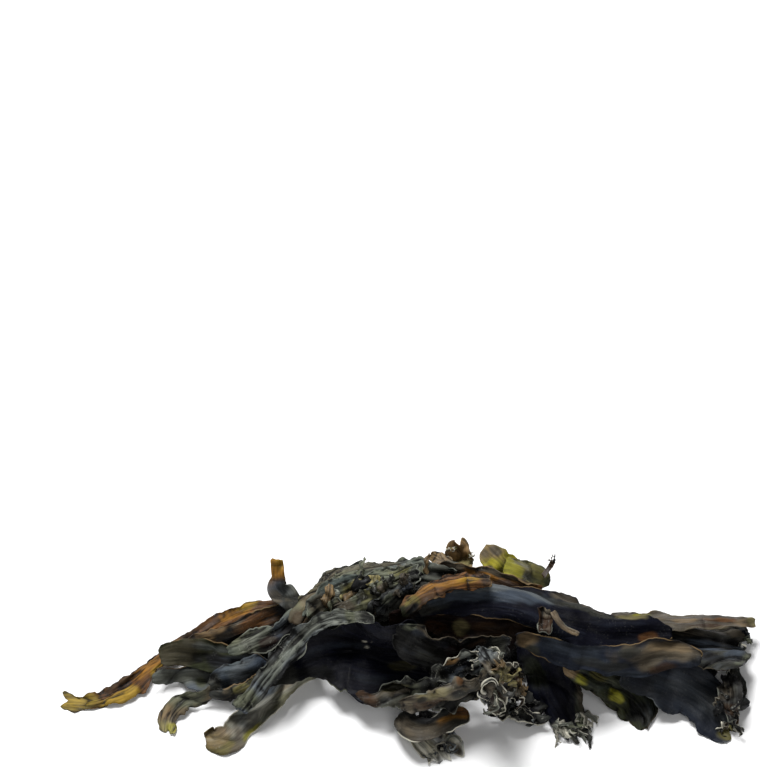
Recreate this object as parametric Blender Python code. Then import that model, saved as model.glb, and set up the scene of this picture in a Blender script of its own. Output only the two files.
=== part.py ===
"""Dried wakame: a loose bundle of folded, crinkled blades and strips of the seaweed Undaria pinnatifida.

Every strip is one thin solid. Its lower face is a loft along a route, with a cross-section that is turned
by angles: a tilt, an arch, rolled edges and lengthwise pleats. The strips are laid one on another, from
the table up, and each is raised just clear of those that it rests on.
"""

import math
import random
from dataclasses import dataclass

import bmesh
import bpy
import numpy as np

MM = 0.001

# Driving dimensions, in millimetres and degrees
BLADE_THICKNESS = 0.68
CLEARANCE = 0.7
LOOK_DOWN = 50.0
FLAT_PRESS = 0.5
HEIGHT_BLEND = 1.2
TABLE_SETBACK = 12.0
END_WIDTH = 0.45
ROUNDING = 0.6
LEAST_WIDTH = 1.3
STEEPEST_SHARE = 0.42
TIGHTEST_BEND = 0.8
RUFFLE_LENGTH = 12.0
SCALLOP_SHARE = 0.13
SCALLOPS_PER_RUFFLE = 0.7

# How the cross-section changes along a strip: shares of its own angles, then radians, then degrees
ARCH_VARIES = 0.3
ROLL_VARIES = 0.5
ROLL_STARTS = 0.35
PLEATS_DRIFT = 2.2
TWIST = 10.0

# How finely the strips and the height map are divided, in millimetres
CELL_LENGTH = 4.3
CELL_WIDTH = 2.4
MAP_CELL = 0.75
MAP_ACROSS = (-114.0, 114.0)
MAP_UP = (-8.0, 78.0)
LEAST_CELLS = (5, 2)
ROUTE_SAMPLES = 12
RAISE_SAMPLES = 6
PROFILE_SAMPLES = 96

COLLECTION_NAME = "wakame"


@dataclass(frozen=True)
class Finish:
    """Colour of a kind of blade, as linear red, green and blue, with its roughness."""

    colour: tuple
    roughness: float


FINISHES = {
    "dark_blade": Finish((0.012, 0.014, 0.018), 0.42),
    "grey_blade": Finish((0.075, 0.08, 0.068), 0.6),
    "amber_blade": Finish((0.16, 0.075, 0.02), 0.5),
    "olive_blade": Finish((0.14, 0.13, 0.03), 0.5),
}


@dataclass(frozen=True)
class Blade:
    """One dried strip.

    A station is (across, up, high, width) in millimetres: to the right of the bundle's middle, up the view
    from LOOK_DOWN degrees above the table, the least height above the table, and the strip's full width.
    The low edge is the one on the right of the route, and the high edge is the one on its left. Tilt, arch
    and both curls turn the cross-section, in degrees. Pleats are half waves across the strip with their
    steepness in degrees, ruffle is the height of the edges' waves in millimetres, and reach is how far
    around itself, in millimetres, the strip looks for what it rests on.
    """

    name: str
    finish: str
    stations: tuple
    tilt: float = 0.0
    arch: float = 40.0
    curl_low: float = 0.0
    curl_high: float = 0.0
    pleats: tuple = (1.5, 25.0)
    ruffle: float = 0.8
    reach: float = 5.0


BLADES = (
    Blade("table_sheet_left", "dark_blade",
          ((-42, 36, 0, 8), (-30, 37, 0, 14), (-12, 36, 0, 20), (6, 35, 0, 22), (26, 35, 0, 18)),
          arch=-10, pleats=(1.5, 20), reach=7),
    Blade("table_sheet_right", "dark_blade",
          ((14, 37, 0, 14), (34, 37, 0, 20), (54, 35, 0, 20), (76, 33, 0, 21), (92, 33, 0, 16)),
          arch=-10, pleats=(1.5, 20), reach=7),
    Blade("back_sheet", "dark_blade",
          ((-26, 48, 0, 8), (-9, 52, 0, 12), (12, 51, 0, 13), (33, 47, 0, 13), (57, 42, 0, 8)),
          arch=20, pleats=(1.5, 25), reach=7),
    Blade("back_roll", "dark_blade",
          ((-22, 48, 2, 7), (-8, 52, 4, 10), (8, 53.5, 5, 11), (24, 51.5, 5, 10), (40, 46, 4, 9),
           (56, 42.5, 2, 6)),
          arch=120, curl_low=40, curl_high=40, pleats=(1.5, 35)),
    Blade("inner_roll", "dark_blade",
          ((18, 40, 1, 8), (36, 39, 2, 12), (54, 38, 2, 14), (70, 37, 2, 12), (84, 36, 1, 8)),
          arch=60, pleats=(2, 25)),
    Blade("amber_strip", "amber_blade",
          ((-105, 19.5, 0, 6), (-95, 19.5, 0, 4), (-87, 22.5, 1, 7), (-77, 30.5, 2, 6), (-66, 38, 4, 4.5),
           (-57.5, 43.5, 6, 5.5), (-50, 46.5, 8, 4), (-37, 48.5, 9, 3.5)),
          arch=70, pleats=(1, 40), reach=4),
    Blade("brown_lobe", "amber_blade",
          ((-68, 35.5, 1, 3), (-63, 37, 2, 6), (-57, 38.5, 3, 8), (-50, 41, 5, 6.5), (-41, 45, 7, 5.5),
           (-34, 48, 9, 5.5)),
          arch=60, curl_high=50, pleats=(1, 30), reach=4),
    Blade("lower_lobe", "grey_blade",
          ((-78, 26, 0, 2.5), (-75, 26.4, 0, 4.5), (-70, 27, 1, 7), (-64, 27.2, 2, 8.8), (-57, 26.8, 2, 9.8),
           (-50, 26, 3, 7)),
          arch=60, pleats=(1, 40), reach=4),
    Blade("front_tip", "olive_blade",
          ((-73, 10, 0, 4.5), (-72.5, 14, 0, 6.5), (-68.5, 18.5, 1, 5), (-62, 21.5, 1, 4.5),
           (-53, 25, 3, 5)),
          arch=60, pleats=(1, 20), reach=4),
    Blade("blunt_lobe", "dark_blade",
          ((-75.5, 32.5, 1, 6), (-71, 33.5, 2, 9), (-64, 33, 3, 10), (-56, 32, 4, 9), (-48, 32.5, 5, 8),
           (-40, 35, 6, 7)),
          tilt=10, arch=60, curl_high=30, pleats=(1, 25), reach=4),
    Blade("upright_sprig", "amber_blade",
          ((-33, 46, 9, 5.5), (-37, 50, 13, 6), (-40, 53.5, 16, 7), (-40, 57, 20, 4.6), (-40, 62, 24, 4.6)),
          arch=50, pleats=(1, 15), reach=3),
    Blade("grey_upper_lobe", "grey_blade",
          ((-55, 34.5, 2, 3), (-51, 35.5, 3, 5), (-46, 37.5, 5, 6.5), (-40, 40, 7, 7), (-34, 45, 9, 6)),
          arch=70, curl_low=40, pleats=(1, 30), reach=4),
    Blade("blue_lobe", "dark_blade",
          ((-61, 24, 1, 4), (-57, 26, 2, 8), (-53, 27, 4, 10), (-48.5, 28, 5, 9), (-42, 31, 6, 7)),
          tilt=-10, arch=70, pleats=(1, 30), reach=4),
    Blade("tan_lobe", "olive_blade",
          ((-60, 21.5, 0, 3), (-56, 21, 1, 4.5), (-51, 22.5, 3, 5.5), (-44, 27, 5, 6)),
          arch=90, pleats=(1, 20), reach=4),
    Blade("lower_left_strap", "olive_blade",
          ((-61.5, 8.2, 0, 7), (-58.5, 7.8, 0, 10), (-55, 8.8, 0, 10.5), (-50, 13, 0, 8.5), (-43, 19, 1, 7.2),
           (-36, 24.5, 3, 5.5), (-27, 31, 5, 5.5)),
          tilt=-5, arch=60, curl_high=40, pleats=(1, 30), reach=4),
    Blade("top_ragged_leaf", "olive_blade",
          ((14.5, 58, 12, 10), (14.5, 62, 15, 10), (14.5, 65, 18, 8), (14, 68, 21, 4.5)),
          arch=50, pleats=(1.5, 35), reach=4),
    Blade("top_left_point", "grey_blade",
          ((6, 63, 18, 2.5), (9, 61.5, 16, 4), (14, 59, 13, 5)),
          arch=60, pleats=(1, 10), reach=3),
    Blade("yellow_leaf", "olive_blade",
          ((22, 65, 18, 4), (24.5, 62.5, 17, 7), (27, 60, 15, 8.5), (30, 58, 13, 8), (33.5, 56.5, 12, 5)),
          tilt=-10, arch=50, pleats=(1, 25), reach=3),
    Blade("olive_leaf", "olive_blade",
          ((28.5, 60, 15, 4), (32.5, 58.5, 14, 7), (36.5, 57, 13, 7), (40, 55.5, 12, 5.5), (42, 54.5, 11, 3)),
          arch=80, pleats=(1, 15), reach=3),
    Blade("twig", "amber_blade",
          ((40, 56.5, 13, 1.8), (42, 59, 14, 1.6), (43.5, 61.5, 15, 1.6)),
          arch=60, pleats=(1, 0), ruffle=0, reach=3),
    Blade("top_brown_sheet", "amber_blade",
          ((9, 59.3, 10, 4), (15, 58.8, 12, 5), (21, 57.5, 12, 5), (28, 55.5, 11, 4.5), (35, 53.8, 10, 4.2),
           (39.5, 52.2, 10, 3.5)),
          tilt=15, arch=30, curl_high=60, pleats=(1, 30), reach=4),
    Blade("arch_blade", "grey_blade",
          ((-34, 42, 5, 6), (-30.5, 47, 8, 9), (-24.5, 52, 9, 11), (-17, 55.5, 10, 11), (-8, 57.5, 10, 9),
           (4, 58, 9, 8), (13, 57, 8, 7)),
          tilt=-8, arch=60, pleats=(1.5, 30)),
    Blade("arch_fold", "grey_blade",
          ((-31.5, 44, 6, 6), (-26.5, 48.5, 8, 9), (-20, 51.5, 10, 9.5), (-12, 54, 10, 9.5),
           (-5, 56.5, 10, 8), (2, 58.5, 10, 6)),
          tilt=-8, arch=60, curl_high=30, pleats=(1.5, 30), ruffle=1.0, reach=3),
    Blade("crumple_left", "grey_blade",
          ((-25, 46, 7, 5), (-19, 48, 9, 7), (-12, 50.5, 10, 8), (-3, 54, 10, 6)),
          arch=50, curl_low=40, pleats=(1.5, 35), ruffle=1.0, reach=3),
    Blade("crumple_right", "grey_blade",
          ((-13, 43, 8, 5), (-9, 46.5, 10, 7.5), (-4.5, 51, 11, 8), (0, 55.5, 11, 5)),
          arch=50, curl_high=40, pleats=(1.5, 35), ruffle=1.0, reach=3),
    Blade("shadow_sheet", "amber_blade",
          ((-7, 45, 6, 5), (6, 44, 6, 10), (19, 42.5, 6, 13), (30, 41.5, 6, 13), (42, 40, 6, 9)),
          tilt=15, arch=-30, pleats=(1.5, 30)),
    Blade("hanging_sheet", "dark_blade",
          ((35, 39, 10, 9), (38.5, 34, 9, 14), (41, 28, 7, 16), (44, 22, 4, 15), (47, 15.5, 1, 12.5),
           (50.5, 8, 0, 8)),
          arch=50, curl_high=40, pleats=(1.5, 25)),
    Blade("lower_right_lobe", "dark_blade",
          ((47, 31, 6, 5), (52.5, 27.5, 5, 7.5), (59, 23.5, 3, 10), (65, 20, 1, 12.5), (68.8, 15.8, 0, 10),
           (70.3, 11, 0, 3)),
          arch=50, pleats=(1.5, 30)),
    Blade("corner_sheet", "dark_blade",
          ((64, 29, 6, 8), (75, 25, 4, 14), (84, 21.5, 2, 17), (90, 17, 1, 17), (96, 9.5, 0, 7)),
          arch=50, curl_high=30, pleats=(1.5, 20), ruffle=0.4),
    Blade("right_fringe_grey", "grey_blade",
          ((97, 29, 3, 3.5), (98.5, 24.5, 2, 4.5), (99, 21, 1, 4.5), (98, 17.5, 0, 3)),
          arch=60, pleats=(1, 30), ruffle=0.6, reach=3),
    Blade("right_fringe_brown", "amber_blade",
          ((94.5, 28, 4, 5), (95.5, 22.5, 3, 5), (95.5, 18, 1, 5), (97, 13.5, 0, 3.5)),
          arch=60, pleats=(1, 30), ruffle=0.6, reach=3),
    Blade("right_upper_sheet", "dark_blade",
          ((72, 40, 6, 6), (80, 38.5, 6, 10), (88, 37, 5, 15), (95, 36, 4, 17), (101, 35.5, 3, 13)),
          tilt=-5, arch=40, pleats=(2, 30)),
    Blade("right_rim", "grey_blade",
          ((60, 43.5, 9, 4.5), (68, 43.5, 10, 6), (79, 43, 9, 6), (91, 43, 8, 4), (104, 42.5, 6, 3)),
          arch=80, curl_low=40, pleats=(1, 30), reach=4),
    Blade("upper_right_blade", "dark_blade",
          ((2, 47, 10, 4), (9, 49, 12, 8), (20, 50, 14, 11), (32, 48.5, 14, 13), (42, 44.5, 13, 16),
           (54, 41, 11, 15.5), (66, 40.5, 9, 12), (78, 40, 8, 6)),
          arch=90, curl_low=30, pleats=(1.5, 25), ruffle=0.4),
    Blade("amber_roll", "amber_blade",
          ((-2.5, 46.5, 12, 3.5), (2, 50.5, 14, 5.5), (8, 53.5, 15, 6), (15, 55, 15, 5), (24, 55.5, 15, 3.5)),
          arch=130, pleats=(1, 15), reach=3),
    Blade("mid_right_blade", "dark_blade",
          ((31, 38, 11, 6), (38, 36.5, 11, 8), (46, 34, 11, 7), (56, 32, 10, 8), (66, 32, 9, 10),
           (74, 33, 9, 12), (81, 33.5, 9, 9), (87, 33, 7, 5)),
          tilt=-5, arch=60, curl_high=40, pleats=(1, 35), ruffle=1.2),
    Blade("centre_dark_sheet", "dark_blade",
          ((-42, 25.5, 5, 4), (-35, 30, 6, 9), (-27, 33, 6, 16), (-20, 33, 7, 23), (-12, 32, 7, 25),
           (-4, 32, 6, 23), (6, 31, 6, 17)),
          arch=20, pleats=(2, 15), ruffle=0.3),
    Blade("scallop_sheet", "dark_blade",
          ((-5.5, 41, 11, 7), (1, 37, 11, 13), (8, 34, 10, 13), (15, 33, 10, 11), (22, 35.5, 10, 8),
           (29, 38, 9, 6)),
          arch=20, curl_high=70, pleats=(1.5, 30), ruffle=1.2),
    Blade("long_grey_strap", "grey_blade",
          ((-52, 17.5, 3, 5.5), (-47.5, 22, 4, 6.5), (-41.5, 29, 6, 7), (-36, 35.5, 8, 6.5),
           (-30.5, 41, 10, 5.8), (-24, 44.3, 11, 4.5), (-17, 45, 11, 3.8), (-11, 44.5, 10, 3.2)),
          arch=90, curl_high=50, pleats=(1, 30), reach=4),
    Blade("front_cup_lower", "grey_blade",
          ((2, 16, 1, 8), (4.5, 11, 0, 13), (9, 7, 0, 14), (13, 2, 0, 8)),
          arch=-40, curl_high=40, pleats=(1.5, 30), ruffle=1.2, reach=4),
    Blade("front_cup_upper", "amber_blade",
          ((-3.5, 15.5, 4, 6), (0.3, 12.5, 4, 8), (4.5, 12, 5, 7.5), (9, 13.5, 6, 7), (13.5, 15, 6, 7),
           (17.5, 15.5, 5, 5)),
          tilt=-15, arch=80, curl_low=30, pleats=(1, 20), reach=4),
    Blade("centre_lower_edge", "olive_blade",
          ((-16, 21, 4, 3), (-12.5, 20.5, 4, 4.5), (-7, 21.5, 5, 6), (1, 22.5, 5, 8.5), (9, 25, 5, 8)),
          arch=70, pleats=(1, 30), reach=4),
    Blade("grey_frilled_leaf", "grey_blade",
          ((5.5, 28, 9, 4), (10, 29, 10, 7.5), (16, 30.5, 12, 9), (21.5, 32.5, 13, 8), (25, 35, 14, 5.5)),
          arch=50, curl_low=50, pleats=(1.5, 45), ruffle=1.2, reach=3),
    Blade("lower_band", "olive_blade",
          ((-4, 18.5, 6, 4.5), (2, 19.5, 6, 7.5), (9, 21, 7, 9.5), (15, 22.5, 8, 10), (21, 25, 9, 8.5),
           (25, 28.5, 9, 6)),
          arch=110, pleats=(1, 20), reach=4),
    Blade("black_frill", "dark_blade",
          ((21.5, 19, 5, 5), (26.5, 18.5, 4, 9), (32, 17.5, 3, 10), (37, 16, 2, 7), (41.5, 16, 1, 4)),
          arch=40, curl_low=30, curl_high=30, pleats=(1.5, 40), ruffle=1.2, reach=3),
    Blade("tan_frill", "olive_blade",
          ((21.5, 36, 9, 5), (25, 31.5, 8, 8), (28.5, 26.5, 7, 9), (30.5, 20.5, 6, 7)),
          arch=60, curl_high=50, pleats=(1.5, 40), ruffle=1.2, reach=3),
    Blade("curl_ring", "grey_blade",
          ((21, 24.5, 8, 4), (24.5, 23.5, 8, 5.5), (26, 20.5, 7, 5.5), (24, 17, 6, 4)),
          arch=110, pleats=(1, 20), reach=3),
    Blade("stub", "olive_blade",
          ((40.5, 47.5, 14, 4.5), (40, 44, 13, 4), (39.5, 40.5, 12, 3.5)),
          arch=80, pleats=(1, 15), reach=3),
    Blade("stalk", "grey_blade",
          ((42, 47, 15, 1.8), (45, 42.5, 14, 1.8), (49.5, 40, 12, 1.8)),
          arch=60, pleats=(1, 0), ruffle=0, reach=3),
)


def wander(t, draw, waves=3):
    """A smooth seeded line of values from about -1 to 1, at the places t."""
    total = np.zeros_like(t, dtype=float)
    for n in range(waves):
        turns = (n + 1) * draw.uniform(0.7, 1.3)
        total = total + np.sin(2 * math.pi * (turns * t + draw.random())) / (n + 1)
    return total / sum(1 / (n + 1) for n in range(waves))


def smooth_route(stations, count):
    """The stations joined by one Catmull-Rom curve, as count + 1 rows that are evenly spaced."""
    points = np.array(stations, float)
    knots = np.concatenate([[0.0], np.cumsum(np.hypot(*np.diff(points[:, :2], axis=0).T))])
    slopes = np.gradient(points, knots, axis=0)
    fine = np.linspace(0, knots[-1], ROUTE_SAMPLES * count + 1)
    piece = np.clip(np.searchsorted(knots, fine, side="right") - 1, 0, len(knots) - 2)
    span = (knots[piece + 1] - knots[piece])[:, None]
    t = ((fine - knots[piece]) / span[:, 0])[:, None]
    curve = (
        (2 * t**3 - 3 * t**2 + 1) * points[piece]
        + (t**3 - 2 * t**2 + t) * span * slopes[piece]
        + (3 * t**2 - 2 * t**3) * points[piece + 1]
        + (t**3 - t**2) * span * slopes[piece + 1]
    )
    walked = np.concatenate([[0.0], np.cumsum(np.hypot(*np.diff(curve[:, :2], axis=0).T))])
    even = np.linspace(0, walked[-1], count + 1)
    return np.stack([np.interp(even, walked, column) for column in curve.T], axis=1)


def rounded_width(route):
    """The strip's width at each row of the route, with both ends rounded off to END_WIDTH of the width."""
    walked = np.concatenate([[0.0], np.cumsum(np.hypot(*np.diff(route[:, :2], axis=0).T))])
    width = route[:, 3]
    share = np.clip(np.minimum(walked, walked[-1] - walked) / (width * ROUNDING), 0, 1)
    rounded = width * (END_WIDTH + (1 - END_WIDTH) * np.sqrt(1 - (1 - share) ** 2))
    return np.maximum(rounded, LEAST_WIDTH)


def divisions(blade):
    """How many cells the blade has along and across."""
    points = np.array(blade.stations, float)
    length = np.hypot(*np.diff(points[:, :2], axis=0).T).sum()
    along = max(LEAST_CELLS[0], round(length / CELL_LENGTH))
    half_across = max(LEAST_CELLS[1], round(points[:, 3].max() / CELL_WIDTH / 2))
    return along, 2 * half_across


def profile(blade, along, draw):
    """The cross-section at each station: sideways and upward distances, as shares of the half width."""
    v = np.linspace(-1, 1, PROFILE_SAMPLES + 1)[None, :]
    u = np.linspace(0, 1, along + 1)[:, None]
    folds, fold_angle = blade.pleats
    rolled_high, rolled_low = (
        np.clip((edge * v - ROLL_STARTS) / (1 - ROLL_STARTS), 0, 1) ** 2 for edge in (1, -1)
    )
    slope = (
        blade.tilt
        - blade.arch / 2 * v * (1 + ARCH_VARIES * wander(u, draw))
        + fold_angle * np.sin(math.pi * folds * v + PLEATS_DRIFT * wander(u, draw))
        + blade.curl_high * rolled_high * (1 + ROLL_VARIES * wander(u, draw))
        - blade.curl_low * rolled_low * (1 + ROLL_VARIES * wander(u, draw))
        + TWIST * wander(u, draw)
    )
    angle = np.radians(slope)
    step = v[0, 1] - v[0, 0]
    sideways, upward = (
        np.concatenate(
            [np.zeros((along + 1, 1)), np.cumsum((f[:, 1:] + f[:, :-1]) / 2 * step, axis=1)], axis=1
        )
        for f in (np.cos(angle), np.sin(angle))
    )
    middle = PROFILE_SAMPLES // 2
    return v[0], sideways - sideways[:, middle : middle + 1], upward


def inside_bends(side, route, tangent):
    """The sideways distances, drawn in on the inside of tight bends so that the rows never cross."""
    heading = np.unwrap(np.arctan2(tangent[:, 1], tangent[:, 0]))
    walked = np.concatenate([[0.0], np.cumsum(np.hypot(*np.diff(route[:, :2], axis=0).T))])
    bend = np.gradient(heading, walked)[:, None]
    share = side * bend / TIGHTEST_BEND
    drawn = np.divide(np.tanh(share) * TIGHTEST_BEND, bend, out=side.copy(), where=np.abs(bend) > 1e-6)
    return np.where(share > 0, drawn, side)


def loose_shape(blade, seed):
    """The blade before it is laid down: grids of across, up, least height and rise, in millimetres."""
    draw = random.Random(seed)
    along, across = divisions(blade)
    route = smooth_route(blade.stations, along)
    tangent = np.gradient(route[:, :2], axis=0)
    tangent /= np.linalg.norm(tangent, axis=1, keepdims=True)
    fine_v, sideways, upward = profile(blade, along, draw)
    v = np.linspace(-1, 1, across + 1)
    u = np.linspace(0, 1, along + 1)[:, None]
    half = rounded_width(route)[:, None] / 2
    side = half * np.array([np.interp(v, fine_v, row) for row in sideways])
    rise = half * np.array([np.interp(v, fine_v, row) for row in upward])
    waves = np.hypot(*np.diff(route[:, :2], axis=0).T).sum() / RUFFLE_LENGTH
    for edge in (-1, 1):
        share = np.clip(edge * v[None, :], 0, 1) ** 2
        phase = 2 * math.pi * (waves * u + draw.random()) + wander(u, draw)
        rise = rise + blade.ruffle * share * np.sin(phase)
        scallop = np.sin(SCALLOPS_PER_RUFFLE * phase + draw.random())
        side = side * (1 + SCALLOP_SHARE * share * scallop)
    rise = rise - rise.min(axis=1, keepdims=True)
    side = inside_bends(side, route, tangent)
    x = route[:, :1] - tangent[:, 1:] * side
    up = route[:, 1:2] + tangent[:, :1] * side
    return x, up, np.broadcast_to(route[:, 2:3], x.shape), rise


def spread(values, cells, pick):
    """Each map cell's pick (the highest, or the mean) of the cells around it, in a square."""
    for axis in (0, 1):
        width = [(0, 0), (0, 0)]
        width[axis] = (cells, cells)
        padded = np.pad(values, width, mode="edge")
        count = values.shape[axis]
        shifted = [
            np.take(padded, range(n, n + count), axis=axis) for n in range(2 * cells + 1)
        ]
        values = pick(shifted)
    return values


class Pile:
    """The heap so far, as a map of its height towards the viewer, over the view's across and up."""

    def __init__(self):
        """Starts with the bare table, set back so that a blade over bare table rests on it and no higher."""
        self.sine, self.cosine = math.sin(math.radians(LOOK_DOWN)), math.cos(math.radians(LOOK_DOWN))
        across = int((MAP_ACROSS[1] - MAP_ACROSS[0]) / MAP_CELL)
        up = np.arange(MAP_UP[0], MAP_UP[1], MAP_CELL)
        self.top = np.broadcast_to(self.towards(up, 0.0) - TABLE_SETBACK, (across, len(up))).copy()

    def towards(self, up, high):
        """Distance towards the viewer of a point seen at up and high above the table."""
        return (high - up * self.cosine) / self.sine

    def on_table_axes(self, x, up, towards):
        """The points on the table's own axes: right, away from the viewer, and up."""
        y = up * self.sine - towards * self.cosine
        z = up * self.cosine + towards * self.sine
        return np.stack([x, y, z], axis=2)

    def place(self, x, up):
        """The position on the map, in cells, of points on the view."""
        return (x - MAP_ACROSS[0]) / MAP_CELL, (up - MAP_UP[0]) / MAP_CELL

    def support(self, x, up, reach):
        """A smooth surface that clears everything laid so far, at the given points."""
        cells = max(2, round(reach / MAP_CELL))
        highest = spread(self.top, cells, lambda grids: np.maximum.reduce(grids))
        for share in (cells // 2, cells - cells // 2):
            highest = spread(highest, share, lambda grids: sum(grids) / len(grids))
        i, j = self.place(x, up)
        i0, j0 = np.floor(i).astype(int), np.floor(j).astype(int)
        a, b = i - i0, j - j0
        return CLEARANCE + (
            highest[i0, j0] * (1 - a) * (1 - b)
            + highest[i0 + 1, j0] * a * (1 - b)
            + highest[i0, j0 + 1] * (1 - a) * b
            + highest[i0 + 1, j0 + 1] * a * b
        )

    def lay(self, blade, seed):
        """Lays the blade on the pile and gives its lower and upper face on the table's axes, in mm."""
        x, up, high, rise = loose_shape(blade, seed)
        resting = self.support(x, up, blade.reach)
        held = self.towards(up, high)
        under = rise + (resting + held + np.sqrt((resting - held) ** 2 + HEIGHT_BLEND**2)) / 2
        over = under + BLADE_THICKNESS / facing_share(x, up, under)
        i, j = (np.floor(n).astype(int) for n in self.place(refined(x), refined(up)))
        np.maximum.at(self.top, (i, j), refined(over))
        lower, upper = (self.on_table_axes(x, up, face) for face in (under, over))
        sunk = lower[:, :, 2] - pressed_flat(lower[:, :, 2])
        lower[:, :, 2] -= sunk
        upper[:, :, 2] -= sunk
        return lower, upper


def facing_share(x, up, towards):
    """The cosine of the angle between the view and the sheet's own direction, at each point."""
    surface = np.stack([x, up, towards], axis=2)
    normal = np.cross(np.gradient(surface, axis=0), np.gradient(surface, axis=1))
    share = np.abs(normal[:, :, 2]) / np.linalg.norm(normal, axis=2)
    return np.maximum(share, STEEPEST_SHARE)


def pressed_flat(high):
    """The heights with all that is within FLAT_PRESS of the table lying flat on it."""
    return np.where(high < 2 * FLAT_PRESS, np.maximum(2 * (high - FLAT_PRESS), 0), high)


def refined(grid):
    """The grid with RAISE_SAMPLES steps in each cell."""
    for _ in range(2):
        count = len(grid)
        places = np.linspace(0, count - 1, (count - 1) * RAISE_SAMPLES + 1)
        low = np.minimum(places.astype(int), count - 2)
        share = (places - low)[:, None]
        grid = (grid[low] * (1 - share) + grid[low + 1] * share).T
    return grid


def blade_mesh(name, lower, upper):
    """A closed sheet between two grids of points, in metres, split into the same triangles on both."""
    along, across = lower.shape[0] - 1, lower.shape[1] - 1
    sheet = bmesh.new()
    number = sheet.verts.layers.int.new("number")
    bmesh.ops.create_grid(sheet, x_segments=along, y_segments=across, size=1)
    for vertex in sheet.verts:
        i = round((vertex.co.x + 1) / 2 * along)
        j = round((vertex.co.y + 1) / 2 * across)
        vertex[number] = i * (across + 1) + j
        vertex.co = lower[i, j] * MM
    bmesh.ops.triangulate(sheet, faces=sheet.faces[:], quad_method="SHORT_EDGE")
    grown = bmesh.ops.extrude_face_region(sheet, geom=sheet.faces[:])
    for vertex in grown["geom"]:
        if isinstance(vertex, bmesh.types.BMVert):
            vertex.co = upper[divmod(vertex[number], across + 1)] * MM
    bmesh.ops.recalc_face_normals(sheet, faces=sheet.faces[:])
    mesh = bpy.data.meshes.new(name)
    sheet.to_mesh(mesh)
    sheet.free()
    return mesh


def finish_material(name):
    """The Principled material of one finish."""
    material = bpy.data.materials.get(name) or bpy.data.materials.new(name)
    material.use_nodes = True
    shader = material.node_tree.nodes["Principled BSDF"]
    shader.inputs["Base Color"].default_value = (*FINISHES[name].colour, 1.0)
    shader.inputs["Roughness"].default_value = FINISHES[name].roughness
    shader.inputs["Metallic"].default_value = 0.0
    return material


def add_blade(blade, faces, bundle, collection):
    """Adds the blade as an object, with its origin at the start of its route."""
    lower, upper = faces
    root = lower[0, lower.shape[1] // 2]
    mesh = blade_mesh(blade.name, lower - root, upper - root)
    mesh.materials.append(finish_material(blade.finish))
    obj = bpy.data.objects.new(blade.name, mesh)
    collection.objects.link(obj)
    obj.parent = bundle
    obj.location = root * MM
    return obj


def centre_on_table(bundle, objects):
    """Moves the bundle so that its box stands on the table with its middle over the origin."""
    bpy.context.view_layer.update()
    corners = [obj.matrix_world @ vertex.co for obj in objects for vertex in obj.data.vertices]
    low, high = np.min(corners, axis=0), np.max(corners, axis=0)
    bundle.location = (-(low[0] + high[0]) / 2, -(low[1] + high[1]) / 2, -low[2])


def main():
    """Clears the scene and builds the bundle, from the table up."""
    for obj in list(bpy.data.objects):
        bpy.data.objects.remove(obj)
    collection = bpy.data.collections.new(COLLECTION_NAME)
    bpy.context.scene.collection.children.link(collection)
    bundle = bpy.data.objects.new("bundle", None)
    collection.objects.link(bundle)
    pile = Pile()
    objects = [
        add_blade(blade, pile.lay(blade, seed), bundle, collection)
        for seed, blade in enumerate(BLADES)
    ]
    centre_on_table(bundle, objects)


main()
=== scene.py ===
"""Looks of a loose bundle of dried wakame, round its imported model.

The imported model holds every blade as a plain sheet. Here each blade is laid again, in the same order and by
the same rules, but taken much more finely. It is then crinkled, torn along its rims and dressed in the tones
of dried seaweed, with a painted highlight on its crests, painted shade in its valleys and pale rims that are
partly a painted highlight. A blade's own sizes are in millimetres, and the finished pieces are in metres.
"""

import logging
import math
import random
from dataclasses import dataclass, field, replace
from enum import Enum

import bpy
import numpy as np
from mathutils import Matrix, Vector


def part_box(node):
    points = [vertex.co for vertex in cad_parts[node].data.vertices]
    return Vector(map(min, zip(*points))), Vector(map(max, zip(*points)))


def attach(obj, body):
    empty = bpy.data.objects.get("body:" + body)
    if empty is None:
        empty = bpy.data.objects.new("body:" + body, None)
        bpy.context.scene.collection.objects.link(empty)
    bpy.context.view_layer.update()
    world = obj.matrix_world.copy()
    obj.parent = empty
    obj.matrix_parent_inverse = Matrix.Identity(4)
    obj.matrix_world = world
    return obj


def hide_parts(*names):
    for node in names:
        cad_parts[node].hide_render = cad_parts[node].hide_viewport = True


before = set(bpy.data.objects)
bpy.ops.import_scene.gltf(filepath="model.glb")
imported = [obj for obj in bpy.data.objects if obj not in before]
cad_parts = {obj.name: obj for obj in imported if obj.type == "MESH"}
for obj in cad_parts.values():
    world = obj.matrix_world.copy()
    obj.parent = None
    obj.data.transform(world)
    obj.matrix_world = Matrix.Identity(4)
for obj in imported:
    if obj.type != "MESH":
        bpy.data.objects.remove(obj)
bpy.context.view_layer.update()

LOG = logging.getLogger("wakame")
MM = 0.001
TINY = 1e-9
STRAIGHT_BEND = 1e-6

Grid = np.ndarray
Pair = tuple[float, float]
Loose = tuple[Grid, Grid, Grid, Grid]
Socket = bpy.types.NodeSocket
Outputs = bpy.types.NodeOutputs


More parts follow.
